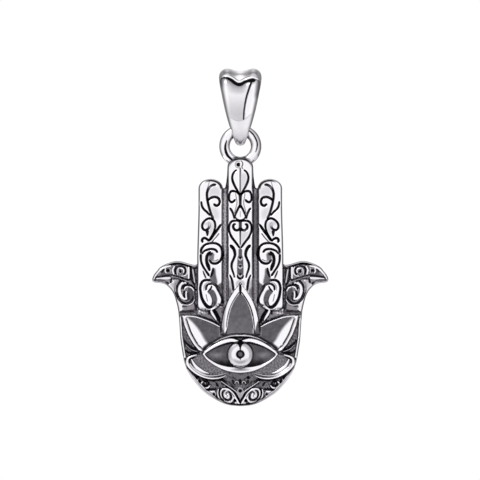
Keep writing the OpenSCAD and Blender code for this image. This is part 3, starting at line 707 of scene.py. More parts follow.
for stroke, width, black in [
    ([(44.8, 200), (49, 201), (50.3, 203.2), (50.2, 206)], (0.9, 1.3, 1.1), 0.95),
    ([(50.8, 207), (48.4, 210.9), (44, 214.7), (38.6, 217.9), (32.5, 219.9), (26, 220), (20, 218.8)],
     (0.4, 0.5, 0.6), 0.62),
    ([(49.4, 203.4), (48.3, 207), (45.6, 210.9), (41.6, 214), (36.4, 216.4), (29, 217.4), (20.5, 216)],
     (0.6, 0.5, 0.5), 0.58),
    ([(50.6, 214), (47, 217.4), (42.4, 220.3), (36, 222.7), (29, 223.8), (22.3, 223.4), (17.5, 222)],
     (0.5, 1.1, 1.4, 1.4), 0.95),
]:
    cut(stroke, width, 0.08, black)
print("the two lower petals are", round(2 * max(lower_petal)[0] * UNIT / MM, 1), "mm across")

# %% [markdown]
# The face of a side petal is flat, and two facets are painted on it: a
# painted highlight on the outer one, as if turned to the light, and a painted
# shade on the inner one, as if turned away. The fold between them falls from
# the petal's tip. A thin line is all that shows of its upper rim.

# %% Side petals
def painted_facets(a, d):
    """A painted highlight outside the fold that falls from the petal's tip, and a painted shade inside it,
    where the face is satin.
    """
    fold = np.interp(d, [161, 166, 171, 176, 183, 188, 192], [52, 46.8, 42.6, 39.2, 35.4, 31.6, 29])
    return mix(0.63, 0.0, soft((a - fold + 2.2) / 4.4))


side_petal = [(58.9, 157.6), (45.3, 158.6), (35.3, 161.4), (27.3, 165), (19.5, 169.2), (18, 185),
              (33.5, 197), (42, 193.8), (47.4, 187.4), (52.6, 178), (56.6, 167.5), (58.9, 157.6)]
petal(side_petal, 3.8, painted_facets)
# Its top rim is only a thin line, so the wide one is taken down there, and so
# it is where the centre petal covers it.
at, within = field([(54, 159.5), (45.3, 160.6), (37.3, 162.8), (29.3, 166), (20, 170.3), (17, 172), (16, 188),
                    (25, 190), (24, 177), (33, 171), (45, 166), (51, 165)], smooth=False)
flat = soft((within + 0.6) / 1.2)
height[at] = mix(height[at], LEAF, flat)
tarnish[at] = mix(tarnish[at], painted_facets(A[at], D[at]), flat)
satin[at] = mix(satin[at], 0.45, flat)
lay([(53.8, 158.9), (48.3, 159.2), (42.7, 160.2), (37.2, 162.2), (31.6, 164.3), (26.1, 166.7), (20.6, 169.8)],
    1.2, PETAL, 0.06)
cut([(44, 158.4), (38, 160.5), (31.8, 162.7), (26.3, 165), (21, 168.2)], (0.5, 0.8, 1, 1.2), 0.1, 0.93)
cut([(54.2, 161.5), (52, 168), (49.9, 174.4), (46.3, 181.6), (41.8, 188.6), (36.6, 192.9)],
    (0.8, 1, 1, 0.9), 0.12, 0.93)
print("upper rim of a side petal taken down at", int((flat > 0.5).sum()), "points")

# %% [markdown]
# Where a side finger ends, a leaf leans against the centre petal. It is laid
# now, because the centre petal covers its foot.

# %% Leaf between the finger and the lotus
wash([(43, 155.4), (36, 153.8), (31, 153), (26, 152.5), (20.5, 149), (18.5, 158), (19.5, 166), (27, 163),
      (36, 159), (42, 157.4)], 0.5, 1.2, 0.7)
wash([(42.6, 152.6), (38, 153.6), (34, 155), (36, 157.6), (42.6, 156.6)], 0.34, 2, 0.5, uneven=0.36)
lay([(29, 154), (27.7, 156.8), (25.7, 160), (23.8, 163.2)], (2.6, 3.4, 2.8, 1.1), 0.5, 0.02)
cut([(25.9, 153.8), (23.4, 157.8), (21.3, 162), (20.2, 166.6)], (2, 2.5, 2.3, 1.1), 0.16, 0.97)
cut([(30.9, 153.4), (31, 157)], (1.8, 1.2), 0.12, 0.92)
leaf = (np.hypot(A - 26, D - 159) < 6) & (tarnish < 0.1)
print("the leaf shows bright on", int(leaf.sum()), "points")

# %% [markdown]
# The centre petal stands over all the others. Its rim is a half-round band
# between two pointed arches. The band is bright along its middle, and a
# painted shade greys its outer side, the more so the lower down; it ends in a
# point above the eye.

# %% Centre petal
centre_petal = whole([(0, 125.6), (5.3, 131.8), (10.3, 138.8), (13.9, 146.5), (16.5, 154), (18.4, 163),
                      (19.4, 172), (19.6, 182), (0, 194)])
at, within = field(centre_petal)
arch, depth = field(whole([(0, 135.4), (4.2, 140.2), (8.2, 147.6), (10.8, 155), (12.4, 163), (13.4, 171),
                           (13.8, 182), (0, 192)]))
inside_face = np.full(len(points), -9.0)   # well outside, where the inner arch wasn't measured
inside_face[arch] = depth
in_arch = inside_face[at]
inner = (within > 0) & (D[at] < 186)
band = np.clip(np.minimum(within, 0.8 - in_arch) / 1.6, 0, 1)
band *= soft((178.5 - D[at]) / 8)
level = np.where(in_arch > 0.8, LEAF, mix(LEAF, PETAL, np.sqrt(1 - (1 - band) ** 2)))
height[at] = np.where(inner, level, height[at])
left_side = X[at] < 0
# A painted shade greys the band's outer side, wider on the left and wider lower down
painted_shade_width = np.where(left_side, np.interp(D[at], [130, 145, 165, 175], [0.8, 1.6, 3.4, 4.4]),
                     np.interp(D[at], [130, 160, 175], [0.5, 0.8, 2.4]))
foot_end = soft((178.4 - 1.9 * np.abs(A[at] - 15.2) - D[at]) / 4)
bright = soft((within - painted_shade_width) / 1.0 + 1) * soft((1.0 - in_arch) / 0.6) * foot_end
painted_side_shade = mix(0.72, 0.34, soft(within / 0.8) * foot_end)
floor_tone = np.interp(D[at], [152, 178], [0.61, 0.55])
dull = np.where(in_arch > 0, floor_tone, mix(painted_side_shade, floor_tone, soft((D[at] - 172) / 6)))
tarnish[at] = np.where(inner, mix(dull, 0.0, bright), tarnish[at])
satin[at] = np.where(inner, mix(0.4, 0.0, bright), satin[at])
inner_arch = [(1.2, 135.2), (5.4, 141.2), (9.3, 148.4), (11.7, 155.6), (13.2, 163), (14.1, 170.6)]
cut(inner_arch, (1, 0.9, 0.9, 0.6), 0.12, 0.88, only=-1)
cut(inner_arch, (1.2, 1.3, 1.3, 0.8), 0.12, 0.95, only=1)
cut([(0, 127.6), (0, 131.4), (0, 137)], (2.2, 2.2, 1.6), 0.16, 0.97)
# Right of it the petal's foot turns away, below a peak, and a painted shade darkens it
lay([(12.2, 160), (12.7, 168), (12.8, 176.4)], 0.9, LEAF + 0.12, 0.18, only=1)
wash([(17.4, 164.4), (16, 168.4), (15, 172.4), (14.2, 178), (20, 178), (19.9, 172), (19, 167.6)],
     0.62, 0.9, 0.4, only=1)
cut([(17.4, 164.6), (17.6, 168), (18.2, 171)], (0.8, 1.2, 0.6), 0.06, 0.86, only=1)
cut([(13.9, 171), (14, 176.6)], (0.8, 1.2), 0.06, 0.86, only=1)
lay([(20.9, 170), (20.9, 175), (20.7, 179)], 0.5, LEAF + 0.05, 0.45)
cut([(19.8, 168), (19.7, 173), (19.4, 179)], (0.6, 0.9, 0.7), 0.04, 0.84)
print("petal rims stand", height[at].max().round(2), "mm above the plate")

# %% [markdown]
# ## The eye
#
# Two lids meet in sharp corners and stand as high as the fingers. The floor
# between them is dark, and lighter beside the iris. The lids' outer edge is
# where two discs cross, so the distance to it is the lesser of the two
# distances to the discs' edges. A torus cut in two would give lids of one
# width. These grow thinner towards the corners, so they are laid as threads
# with a width for each place.

# %% Almond and lids
EYE_A, EYE_UP, EYE_MID = 36.6, 19.4, 196.7   # half its length and height, and how far down it is
HOLLOW = 0.14                    # height of the floor between the lids, in mm
radius = (EYE_A ** 2 + EYE_UP ** 2) / (2 * EYE_UP)
almond = np.minimum(radius - np.hypot(A, D - (EYE_MID - EYE_UP + radius)),
                    radius - np.hypot(A, D - (EYE_MID + EYE_UP - radius)))
eye = almond > 0
height = np.where(eye, HOLLOW, height)
tarnish = np.where(eye, 0.66, tarnish)
satin = np.where(eye, 0.55, satin)
# The floor is lighter beside the iris, and black low down
streak = soft(1 - np.abs(D - 198.2) / 4.5) * soft((33 - A) / 8) * soft((A - 13) / 10)
low_black = soft((D - 201.5) / 6.5) * soft((30 - A) / 8)
tarnish -= 0.16 * streak * eye
tarnish += 0.24 * low_black * eye
# A fold over the upper lid, with a fine line above it and a black one below
cut([(28, 184.8), (24, 182.7), (20, 180.8), (14, 178.6), (8, 177.1), (0, 176.8)],
    (0.5, 0.9, 0.9, 1.0), 0.05, 0.9)
lay([(27, 186), (24, 184.5), (20.3, 182.3), (14.3, 180.2), (8.3, 178.8), (0, 178.5)],
    (0.3, 0.5, 0.8, 1.1, 1.3), RELIEF - 0.05, 0.06)
cut([(24, 185.6), (20, 183.8), (14, 181.9), (8, 180.5), (0, 180.7)], (0.3, 0.6, 0.9, 1.4, 1.8), 0.05, 0.97)
# The upper lid and the shadow under it, then the lower lid
lay([(36.6, 197.1), (33.5, 194.2), (27.3, 189.7), (20.3, 186.1), (14.3, 184), (8.3, 183.1), (1.9, 184.4)],
    (1.6, 2.7, 3.8, 4.6, 4.9, 4.2, 2.6), RELIEF, 0.0)
cut([(33.6, 196.5), (27.6, 192.6), (20.3, 189.3), (14.3, 187.4), (8.3, 186.3), (0, 186.9)],
    (0.7, 1.1, 1.4, 1.6, 2.4), 0.02, 0.95)
lay([(36.6, 196.7), (33.4, 201), (28.3, 205), (22.3, 208.4), (15.3, 211), (8.3, 212.6), (0, 213.3)],
    (1.6, 2.4, 3, 4, 5.4, 6.4, 6.8), RELIEF, 0.02)
# A shade on the middle of the lower lid, and a dark line outside the upper one
shade = soft(1 - A / 13) * soft(1 - np.abs(D - 212.3) / 2.6)
tarnish = np.where(D > 205, np.maximum(tarnish, 0.5 * shade), tarnish)
reach = np.interp(A, [16, 26, 33, 38], [0.8, 1.0, 1.9, 2.4])
outer_line = soft(1.3 - np.abs(almond + 0.2 + reach) / reach) * soft((39.4 - A) / 3) * soft((A - 16) / 6)
tarnish = np.where(D < EYE_MID - 1, mix(tarnish, 0.84, outer_line), tarnish)
print("eye is", round(2 * EYE_A * UNIT / MM, 2), "mm long, its lids", height[eye].max().round(2), "mm high")

# %% [markdown]
# A satin dome with a sunk pupil looks out of the eye. The dome is the cap of a
# flattened ball, grey at its rim, with a painted shade in a crescent low down
# and a bright line between them. The pupil is a black well with a small bead on
# its floor.

# %% Iris and pupil
IRIS, IRIS_D = 12.8, 197.6       # its radius, and how far down it is
IRIS_TOP = 184                   # where the upper lid covers it
DOME_FOOT, DOME_RISE = 0.2, RELIEF - 0.18
from_iris = np.hypot(A, D - IRIS_D)
ring_dark = soft(1 - np.abs(from_iris - IRIS - 0.5) / 1.1)
tarnish = np.where(from_iris > IRIS - 1, np.maximum(tarnish, 0.9 * ring_dark * (almond > 4.5)), tarnish)
in_iris = (from_iris < IRIS) & (D > IRIS_TOP)
dome = DOME_FOOT + DOME_RISE * np.sqrt(np.clip(1 - (from_iris / (IRIS + 0.6)) ** 2, 0, 1))
height = np.where(in_iris, dome, height)
# A painted shade greys a crescent of the dome low down
low = soft((D - IRIS_D - 2) / 6)
iris_tone = 0.05 + 0.24 * soft((from_iris - 8.0) / 1.8) * (1 - 0.75 * low)
iris_tone += 0.34 * low * soft(1 - np.abs(from_iris - 7.4) / 3) + 0.25 * soft((from_iris - 11.4) / 1.0)
tarnish = np.where(in_iris, iris_tone, tarnish)
satin = np.where(in_iris, 0.9, satin)
PUPIL, PUPIL_D = 4.2, 197.2
WELL_DEEP, BEAD_HIGH, BEAD = 0.16, 0.14, 3.0
cut([(0, 185.2), (0, 187.6), (0, 190), (0, 193)], (8, 4.2, 1.6, 1.0), 0.04, 0.97)
from_pupil = np.hypot(A, D - PUPIL_D)
well = soft((PUPIL + 0.5 - from_pupil) / 1.0)
height -= WELL_DEEP * well
bead = np.sqrt(np.clip(1 - (from_pupil / BEAD) ** 2, 0, 1))
height += BEAD_HIGH * bead
tarnish = mix(tarnish, 0.93, well)
tarnish = mix(tarnish, 0.62, soft((2.9 - from_pupil) / 1.2))
satin = mix(satin, 0.5, well)
cut([(0, 200.4), (0, 202.6)], (2.6, 0.6), 0.03, 0.9)
print("iris is", round(2 * IRIS * UNIT / MM, 2), "mm wide, its dome", height[in_iris].max().round(2),
      "mm high")

# %% [markdown]
# ## Scrolls under the lotus
#
# The foot of the palm is a dark crescent with wax threads on it: two large
# scrolls, two small ones, a long V with a drop in its middle, and a bright
# rim along the edge.

# %% Raised and cut lines of the palm's foot
crescent = whole([(0, 217.4), (12, 220.6), (23.3, 224.4), (32.3, 224.6), (40.3, 222.4), (47.5, 217.8),
                  (53.6, 212), (50, 218), (40, 230.6), (30, 239.2), (20, 244.6), (9, 247.8), (0, 248.4)])
at, within = field(crescent, smooth=False)
share = soft(within / 0.8)
tarnish[at] = mix(tarnish[at], 0.56 - 0.08 * stipple[at], share)
tarnish[at] = mix(tarnish[at], 0.57, share * soft((236 - D[at]) / 3) * soft((26 - A[at]) / 6))
height[at] += 0.02 * stipple[at] * share
wash([(53.4, 211), (48.5, 217.4), (44, 221), (40.5, 223), (42, 228), (46, 224.5), (50, 219.5), (53.8, 214)],
     0.4, 1.2)
# Below the V and round the scrolls the wax lies thick, so that only lines stay dark.
for across, down, reach, tone in [(13.4, 239, 9.2, 0.16), (27.5, 237, 4.4, 0.2), (34, 235, 3.4, 0.3),
                                  (4, 246, 3, 0.24)]:
    from_it = np.hypot(A - across, D - down)
    disc = soft((reach - from_it) / 1.6)
    height = mix(height, np.maximum(height, 0.3), disc)
    tarnish = mix(tarnish, tone, disc)
    satin = mix(satin, 0.15, disc)
for stroke, width, tone in [
    # Ridge of the V, and the ridge below its black line
    ([(19, 224.4), (13.9, 228), (8.3, 231.6), (3.6, 235.4), (1, 240)], (1, 1.3, 1.4), 0.22),
    ([(14.6, 231.8), (11.6, 232.7), (9, 235), (6.2, 238.6), (3.6, 242.6), (1.2, 246.4)],
     (1.2, 1.6, 1.9, 2, 1.8), 0.0),
    # Large scroll: two outer arcs, the turn over the core, and the core
    ([(22, 232.6), (22.4, 236.6), (21.4, 240.5), (18.4, 243.6), (15.4, 244.9)], 1.4, 0.02),
    ([(15, 231.7), (17.8, 232.1), (19.5, 234.2), (19.7, 237.4), (18.4, 240.6), (16.2, 242.8)],
     (1.4, 1.5, 1.4, 1.2), 0.04),
    ([(15.5, 235.9), (16.2, 238.6), (15.6, 240.4)], (0.9, 1.2, 0.6), 0.06),
    ([(9.4, 235.6), (7.4, 238.6), (7.2, 241.6), (9, 244.6)], 1.5, 0.06),
    # Small scroll
    ([(35.3, 225.3), (37.8, 225), (39, 226.9), (37.9, 229.4), (35.3, 230.9), (32.2, 230.6), (30.3, 228.6)],
     (1, 1.5, 1.6, 1.7, 1.9, 1.2), 0.02),
    ([(35.6, 234.5), (31, 234.6), (26, 234)], (1.2, 2.1, 1.5), 0.02),
    # Curls by the middle line, and the drop's outline
    ([(5.4, 227), (5, 225.2), (3.5, 224.2), (2.1, 225), (1.9, 226.4)], (1, 1.1, 1, 1.1), 0.22),
]:
    lay(stroke, width, THREAD, tone)
for stroke, width, black in [
    ([(18.4, 226), (13.3, 229.6), (8.6, 232.9), (4.9, 236.6), (2.2, 241), (0, 246.2)],
     (0.7, 1.1, 1.5, 1.4), 0.96),
    ([(19.8, 231.4), (20.9, 234.6), (20.6, 238.4), (19, 241.4), (16.4, 243.8)], 1.5, 0.97),
    ([(14.9, 233.5), (17.2, 234.6), (17.9, 237.6), (16.9, 240.6), (14.9, 242.6), (12, 243.4), (9.4, 241.8),
      (8.9, 238.6), (10.4, 235.9), (12.8, 235), (14, 236.6)], (1.1, 1.6, 1.7, 1.8, 1.7, 1.3, 1), 0.97),
    ([(11.4, 234), (8, 237), (5.8, 240.4)], (0.4, 0.8, 0.8), 0.8),
    # Dark marks over the V
    ([(7.2, 223.2), (7.2, 226), (5.4, 228.4)], 1.4, 0.86),
    ([(0, 222.8), (0, 227.4)], 1.6, 0.9),
    ([(9.6, 220.6), (6.8, 221.4), (4.4, 222.6)], 1.0, 0.72),
    ([(19.6, 222.4), (16.4, 223.8), (13.6, 225.8)], (1.2, 1.5, 0.8), 0.84),
    ([(12, 224.6), (9.6, 227.6), (5.4, 230.6)], (0.6, 1, 0.6), 0.7),
    ([(40, 222.4), (40.3, 226), (38.9, 230.2), (35.5, 233), (31, 233)], 1.3, 0.95),
    ([(31, 233), (24.3, 232.6)], 1.4, 0.88),
    ([(36.8, 226.4), (35.4, 224.6), (33, 224.6), (31.8, 226.6), (32.8, 228.8), (35.2, 229), (36.6, 227.6)],
     (1.2, 1.8, 1.9, 1.8, 1.4, 1), 0.96),
    ([(24.4, 225.6), (22.4, 229.4)], 1.6, 0.9),
    ([(36, 235.9), (30.3, 239), (25.3, 241.9), (20.3, 244.3), (15.3, 246), (8.3, 247.2), (0, 247.8)],
     1.2, 0.88),
]:
    cut(stroke, width, 0.12, black)
# The core of the large scroll: a small dome with a fine line turning into it
CORE_ACROSS, CORE_DOWN, CORE = 12.8, 239.4, 3.2
from_core = np.hypot(A - CORE_ACROSS, D - CORE_DOWN)
core = soft((2.9 - from_core) / 0.9)
height = mix(height, 0.26 + 0.2 * np.sqrt(np.clip(1 - (from_core / CORE) ** 2, 0, 1)), core)
tarnish = mix(tarnish, 0.06, core)
cut([(14.6, 237.2), (13.2, 238), (12.9, 239.3), (13.9, 240.2)], (0.9, 0.7, 0.6), 0.06, 0.72)
# The drop between the two ridges: a light skin with a dark hole
at, within = field(whole([(0, 230.2), (2, 230.9), (3.3, 233), (3.1, 235.4), (1.6, 239.4), (0, 243.5)]))
height[at] = np.where(within > 0, 0.3, height[at])
tarnish[at] = mix(tarnish[at], 0.34, soft((within + 0.3) / 0.9))
for across, down, size in [(26.3, 237.7, 1.5), (5.4, 244, 1.2), (44.2, 221.2, 1.5), (0, 234, 1.7)]:
    pit(across, down, size)
pit(8, 220.8, 1.2, only=1)
lay([(42.8, 223.6), (42, 222.2)], 1, THREAD, 0.15)
lay([(34.9, 226.5), (34.7, 227)], 1.3, THREAD, 0.36)
print("scrolls of the foot: tarnish", tarnish[(D > 225) & (depth_in > 4)].mean().round(2), "on average")

# %% [markdown]
# ## The rim and the edge of the whole hand
#
# A bright rim follows the palm's edge, and the whole casting has a softly
# rounded edge. The rim is laid first, then every height is brought down to a
# little under the plate's level over the last unit and a half before the
# outline. A Bevel modifier could round the edge too, but here each point
# already knows how far inside the outline it lies.

# %% Rim of the palm and of the thumbs
THUMB_END = 158
RIM_HIGH, THUMB_RIM_HIGH, THUMB_RIM = 0.34, 0.3, 1.9
# The palm: a bright band, a fine line in its lower part, and a dark line inside it
palm_edge = soft((D - PALM_TOP) / 6) * (depth_in > 0)
rim = np.interp(D, [160, 199, 202, 211, 220, 238, 248], [3.1, 3.0, 1.2, 1.4, 4.1, 3.6, 1.5])
rim_share = soft((rim - depth_in) / 0.9) * palm_edge
height = mix(height, np.maximum(height, RIM_HIGH), rim_share)
rim_line = soft(1 - np.abs(depth_in - 0.55 * rim) / 0.75) * soft((D - 210) / 8)
tarnish = mix(tarnish, 0.06 + 0.12 * soft((D - 215) / 20) + 0.36 * rim_line, rim_share)
satin = mix(satin, 0.1, rim_share)
beside_petals = soft((D - 198) / 3) * soft((214 - D) / 3)
thin = soft(1 - np.abs(depth_in - rim - 0.2) / 0.8) * palm_edge * (1 - beside_petals)
tarnish = mix(tarnish, np.maximum(tarnish, 0.6 + 0.3 * soft((D - 238) / 6)), thin)
# The thumbs: a thin bright rim, and a dark line down the flank
thumb_rim = soft((THUMB_RIM - depth_in) / 0.8) * (D < THUMB_END) * (A > 43.5) * (depth_in > 0)
height = mix(height, np.maximum(height, THUMB_RIM_HIGH), thumb_rim)
tarnish = mix(tarnish, 0.16 - 0.1 * soft((D - 126) / 4), thumb_rim)
flank_line = soft(1.6 - np.abs(depth_in - 0.7) / 0.8) * soft((D - 125) / 4) * (D < THUMB_END) * (A > 56)
tarnish = mix(tarnish, 0.52, flank_line)
print("the palm's rim is", rim.max().round(1), "units wide at most and", rim.min().round(1), "at least")

# %% [markdown]
# At the fingertips a painted shadow darkens the joint under the ring, and a
# painted shade draws a dark line inside each side tip and in the notches.

# %% Fingertips and rounded edge
# A painted shadow of the ring on the joint under it
painted_joint_shadow = soft((3.3 - depth_in) / 0.9) * soft((12 - D) / 10) * (depth_in > 0)
tarnish = mix(tarnish, 0.84, painted_joint_shadow)
# Painted shade: a dark line inside each side fingertip, and one in the notches
tip_turn = np.degrees(np.arctan2(SIDE_TOP + TIP_HEIGHT - D, SIDE_MID - A))
painted_tip_shade = soft(2 - np.abs(depth_in - 1.9) / 0.6) * soft((tip_turn + 12) / 20) * soft((150 - tip_turn) / 60)
tarnish = np.where((A > 16) & (D < 36), np.maximum(tarnish, 0.86 * painted_tip_shade), tarnish)
painted_notch_shade = soft(2 - np.abs(depth_in - 0.8) / 0.5) * (A < 16) * soft((D - 18) / 5) * (D < 34)
tarnish = np.maximum(tarnish, 0.9 * painted_notch_shade)
EDGE_DROP, EDGE_ROUND = 0.2, 1.5  # how far the edge falls in mm, over how many units
edge_round = shoulder(depth_in, EDGE_ROUND)
height = -EDGE_DROP + (height + EDGE_DROP) * edge_round
# A painted grey shade darkens the rounded edge along the whole outline
tarnish = np.clip(mix(np.maximum(tarnish, 0.3), tarnish, soft(depth_in / 1.4)), 0, 0.98)
satin = np.clip(satin, 0, 1)
print("heights from", height[depth_in >= 0].min().round(2), "to", height[depth_in >= 0].max().round(2), "mm")

# %% [markdown]
# ## From the sheet to a closed casting
#
# Squares of the grid with all four corners on the hand become faces, and
# squares with three become triangles. The free edges then make one loop round
# the hand. The loop is carried back in a few rings, the last ones drawn in so
# that the back edge is round too, and one flat face closes the back. A voxel
# remesh would close the shape too, but it would round off the finest strokes.

# %% Faces of the front
point_at = np.arange(len(points)).reshape(grid_a.shape)
squares = [point_at[:-1, :-1], point_at[:-1, 1:], point_at[1:, 1:], point_at[1:, :-1]]
squares = np.stack([corners.ravel() for corners in squares], 1)
on_hand = depth_in >= 0
held = on_hand[squares].sum(1)
quads = squares[held == 4]
threes = squares[held == 3]
triangles = threes[on_hand[threes]].reshape(-1, 3)


def face_area(rows):
    """Half the cross product of the two diagonals, or of two sides, in square units."""
    x, d = X[rows], D[rows]
    first, second = ((2, 0), (3, 1)) if rows.shape[1] == 4 else ((1, 0), (2, 0))
    across = [x[:, first[0]] - x[:, first[1]], x[:, second[0]] - x[:, second[1]]]
    down = [d[:, first[0]] - d[:, first[1]], d[:, second[0]] - d[:, second[1]]]
    return abs(across[0] * down[1] - across[1] * down[0]) / 2


TOO_SMALL = 0.02 * PITCH ** 2
quads = quads[face_area(quads) > TOO_SMALL]
triangles = triangles[face_area(triangles) > TOO_SMALL]


def free_edges(quads, triangles):
    """Directed edges that only one face has."""
    run = np.concatenate([np.stack([faces[:, i], np.roll(faces, -1, 1)[:, i]], 1)
                          for faces in (quads, triangles) for i in range(faces.shape[1])])
    key = run[:, 0] * len(points) + run[:, 1]
    back = run[:, 1] * len(points) + run[:, 0]
    return run[~np.isin(key, back)]


edges = free_edges(quads, triangles)
busy = np.flatnonzero(np.bincount(edges[:, 0], minlength=len(points)) > 1)
print(len(quads), "squares,", len(triangles), "triangles,", len(edges), "free edges,", len(busy),
      "corners to clear")
# Where two stretches of the loop share a corner, the faces there are dropped.
while len(busy):
    triangles = triangles[~np.isin(triangles, busy).any(1)]
    along_edge = (depth_in[quads] == 0).sum(1) >= 3
    quads = quads[~(np.isin(quads, busy).any(1) & along_edge)]
    edges = free_edges(quads, triangles)
    left = np.flatnonzero(np.bincount(edges[:, 0], minlength=len(points)) > 1)
    if len(left) >= len(busy):
        break
    busy = left

# %% [markdown]
# Each free edge leads to the corner after it, so a walk from corner to corner
# gives the loop in order. Solidify could make the wall, but it would press
# the front's engraving into the back, which is flat. So the loop is carried
# back ring by ring. Inwards is the run along the loop turned by a quarter.

# %% Loop round the hand, its rings, and the mesh
follow = np.full(len(points), -1)
follow[edges[:, 0]] = edges[:, 1]
loop = [edges[0, 0]]
while follow[loop[-1]] != loop[0]:
    loop.append(follow[loop[-1]])
loop = np.array(loop)
print("loop of", len(loop), "corners from", len(edges), "free edges")

back_y = hand_high[1]
plate_y = hand_low[1] + RELIEF * MM
sheet = np.stack([X * UNIT, plate_y - height * MM, tip_z - D * UNIT_DOWN], 1)
run = sheet[np.roll(loop, -3)] - sheet[np.roll(loop, 3)]
inward = np.stack([-run[:, 2], 0 * run[:, 0], run[:, 0]], 1)
inward /= np.linalg.norm(inward, axis=1)[:, None]
used = np.unique(np.concatenate([quads.ravel(), triangles.ravel()]))
place = np.full(len(points), -1)
place[used] = np.arange(len(used))
rings = [place[loop]]
start = len(used)
corners = [sheet[used]]
# Rings of the wall: distance before the back, how far drawn in, both in mm, and tarnish
wall = [(0.75, 0, 0.3), (0.22, 0, 0.24), (0.09, 0.025, 0.16), (0.02, 0.09, 0.1), (0, 0.16, 0.06)]
for before, inset, _ in wall:
    ring = sheet[loop] + inward * inset * MM
    ring[:, 1] = back_y - before * MM
    corners.append(ring)
    rings.append(start + np.arange(len(loop)))
    start += len(loop)
walls = [np.stack([np.roll(a, -1), a, b, np.roll(b, -1)], 1) for a, b in zip(rings, rings[1:])]
hand_points = np.concatenate(corners)
wall_tarnish = np.repeat([tone for _, _, tone in wall], len(loop))
hand_tarnish = np.concatenate([tarnish[used], wall_tarnish])
hand_satin = np.concatenate([satin[used], np.full(len(wall_tarnish), 0.1)])


def closed_mesh(name, corners, faces, flat_last=False, **values):
    """A mesh object from corners and faces, with one number a corner for each value.

    It is smooth all over, but for its last face where flat_last is true.
    """
    mesh = bpy.data.meshes.new(name)
    mesh.from_pydata(corners.tolist(), [], faces)
    smooth = np.ones(len(faces), bool)
    smooth[-1] = not flat_last
    mesh.polygons.foreach_set("use_smooth", smooth)
    for label, numbers in values.items():
        layer = mesh.attributes.new(label, "FLOAT", "POINT")
        layer.data.foreach_set("value", np.asarray(numbers, np.float32))
    mesh.update()
    made = bpy.data.objects.new(name, mesh)
    bpy.context.scene.collection.objects.link(made)
    print(name, len(mesh.vertices), "corners,", sum(len(f) - 2 for f in faces), "triangles")
    return made


# The back is the last ring taken the other way round, so that it looks backwards
hand_faces = (place[quads].tolist() + place[triangles].tolist()
              + [row for w in walls for row in w.tolist()] + [rings[-1][::-1].tolist()])
hand_relief = closed_mesh("hand_relief", hand_points, hand_faces, flat_last=True,
                          tarnish=hand_tarnish, satin=hand_satin)

# %% [markdown]
# ## The ring
#
# A round wire is bent to a circle and soldered into the tip of the middle
# finger. Its surface is a circle carried round a circle. A painted shadow
# darkens the corner at its foot. Two painted dark reflections of the
# studio's sides run along the front of the wire, a painted shade greys its
# right flank, and a painted shade lies on its inner side near the bail. A
# torus object would do for the shape, but here each corner gets its own
# painted shade, worked out from its place.

# %% Ring as a circle carried round a circle
AROUND, TUBE = 224, 72           # corners round the ring, and round its wire
ring_angle = np.linspace(0, 2 * np.pi, AROUND, endpoint=False)[:, None]
wire_angle = np.linspace(0, 2 * np.pi, TUBE, endpoint=False)[None, :]
out = ring_mean + WIRE / 2 * np.cos(wire_angle)
ring_points = np.stack([out * np.sin(ring_angle), WIRE / 2 * np.sin(wire_angle) + 0 * ring_angle,
                        ring_z + out * np.cos(ring_angle)], 2)
ring_points = ring_points.reshape(-1, 3)
in_front = ring_points[:, 1] < 0


def wrapped_faces(rows, columns):
    """Squares of a grid that closes on itself both ways."""
    row, column = np.meshgrid(np.arange(rows), np.arange(columns), indexing="ij")
    row_after = (row + 1) % rows
    column_after = (column + 1) % columns
    corners = [row * columns + column, row_after * columns + column,
               row_after * columns + column_after, row * columns + column_after]
    return np.stack(corners, 2).reshape(-1, 4).tolist()


# A painted shadow darkens the ring's foot where it meets the fingertip
painted_foot_shadow_share = soft((-np.cos(ring_angle) - 0.72) / 0.25) + 0 * wire_angle
drawn = np.stack([np.abs(ring_points[:, 0]) / UNIT, (tip_z - ring_points[:, 2]) / UNIT_DOWN], 1)
from_tip = in_parts(lambda p: nearest(p, edge_line[:30])[:1], drawn)[0]
ring_tarnish = 0.02 + 0.6 * painted_foot_shadow_share.ravel() * soft((2.2 - from_tip) / 1.8)
drawn[:, 0] = ring_points[:, 0] / UNIT
# Two painted dark reflections of the studio's sides along the front of the wire
for line, line_widths in [
    ([(-13.6, -16.4), (-14.8, -12), (-14.8, -7.4), (-12.8, -1.8), (-8.6, 2.4)], (0.8, 1.9, 2.5, 2.5, 1.8)),
    ([(7.6, -27.2), (11, -24.6), (14, -21), (16.6, -15.2), (16.8, -10), (15.4, -5)],
     (1.2, 1.4, 1.4, 1.3, 0.5)),
]:
    gap, share = in_parts(lambda p: nearest(p, sweep(line))[:2], drawn)
    ink = soft((widths(line_widths, share) / 2 + 0.3 - gap) / 0.5) * in_front
    ring_tarnish = np.maximum(ring_tarnish, 0.95 * ink)
# A painted shade of the bail on the inner side of the wire where it passes through
from_centre = np.hypot(ring_points[:, 0], ring_points[:, 2] - ring_z) / UNIT
painted_inner_shade = soft(1 - (from_centre - RING_HOLE / 2 / UNIT) / 4.4) * in_front
near_bail = soft((-drawn[:, 1] - 8) / 7)
ring_tarnish = np.maximum(ring_tarnish, 0.42 * painted_inner_shade * near_bail)
# A painted shade greys the outer right flank of the wire
painted_flank_shade = soft((from_centre - ring_mean / UNIT - 0.5) / 3) * soft((drawn[:, 0] - 6) / 4) * in_front
ring_tarnish = np.maximum(ring_tarnish, 0.2 * painted_flank_shade)
hand_ring = closed_mesh("hand_ring", ring_points, wrapped_faces(AROUND, TUBE),
                        tarnish=ring_tarnish, satin=0 * ring_tarnish)

# %% [markdown]
# ## The bail
#
# The bail is a cast band, bent over the chain and closed into a small eye
# below. Its inner line is a belt round a large circle and a small one. At
# each station of the belt a section is set up: its outer face has two humps
# with a valley between them near the top and turns round towards the foot. A
# curve with a bevel profile keeps one section all the way, so the band is
# worked out as an array instead, with a section for each station.

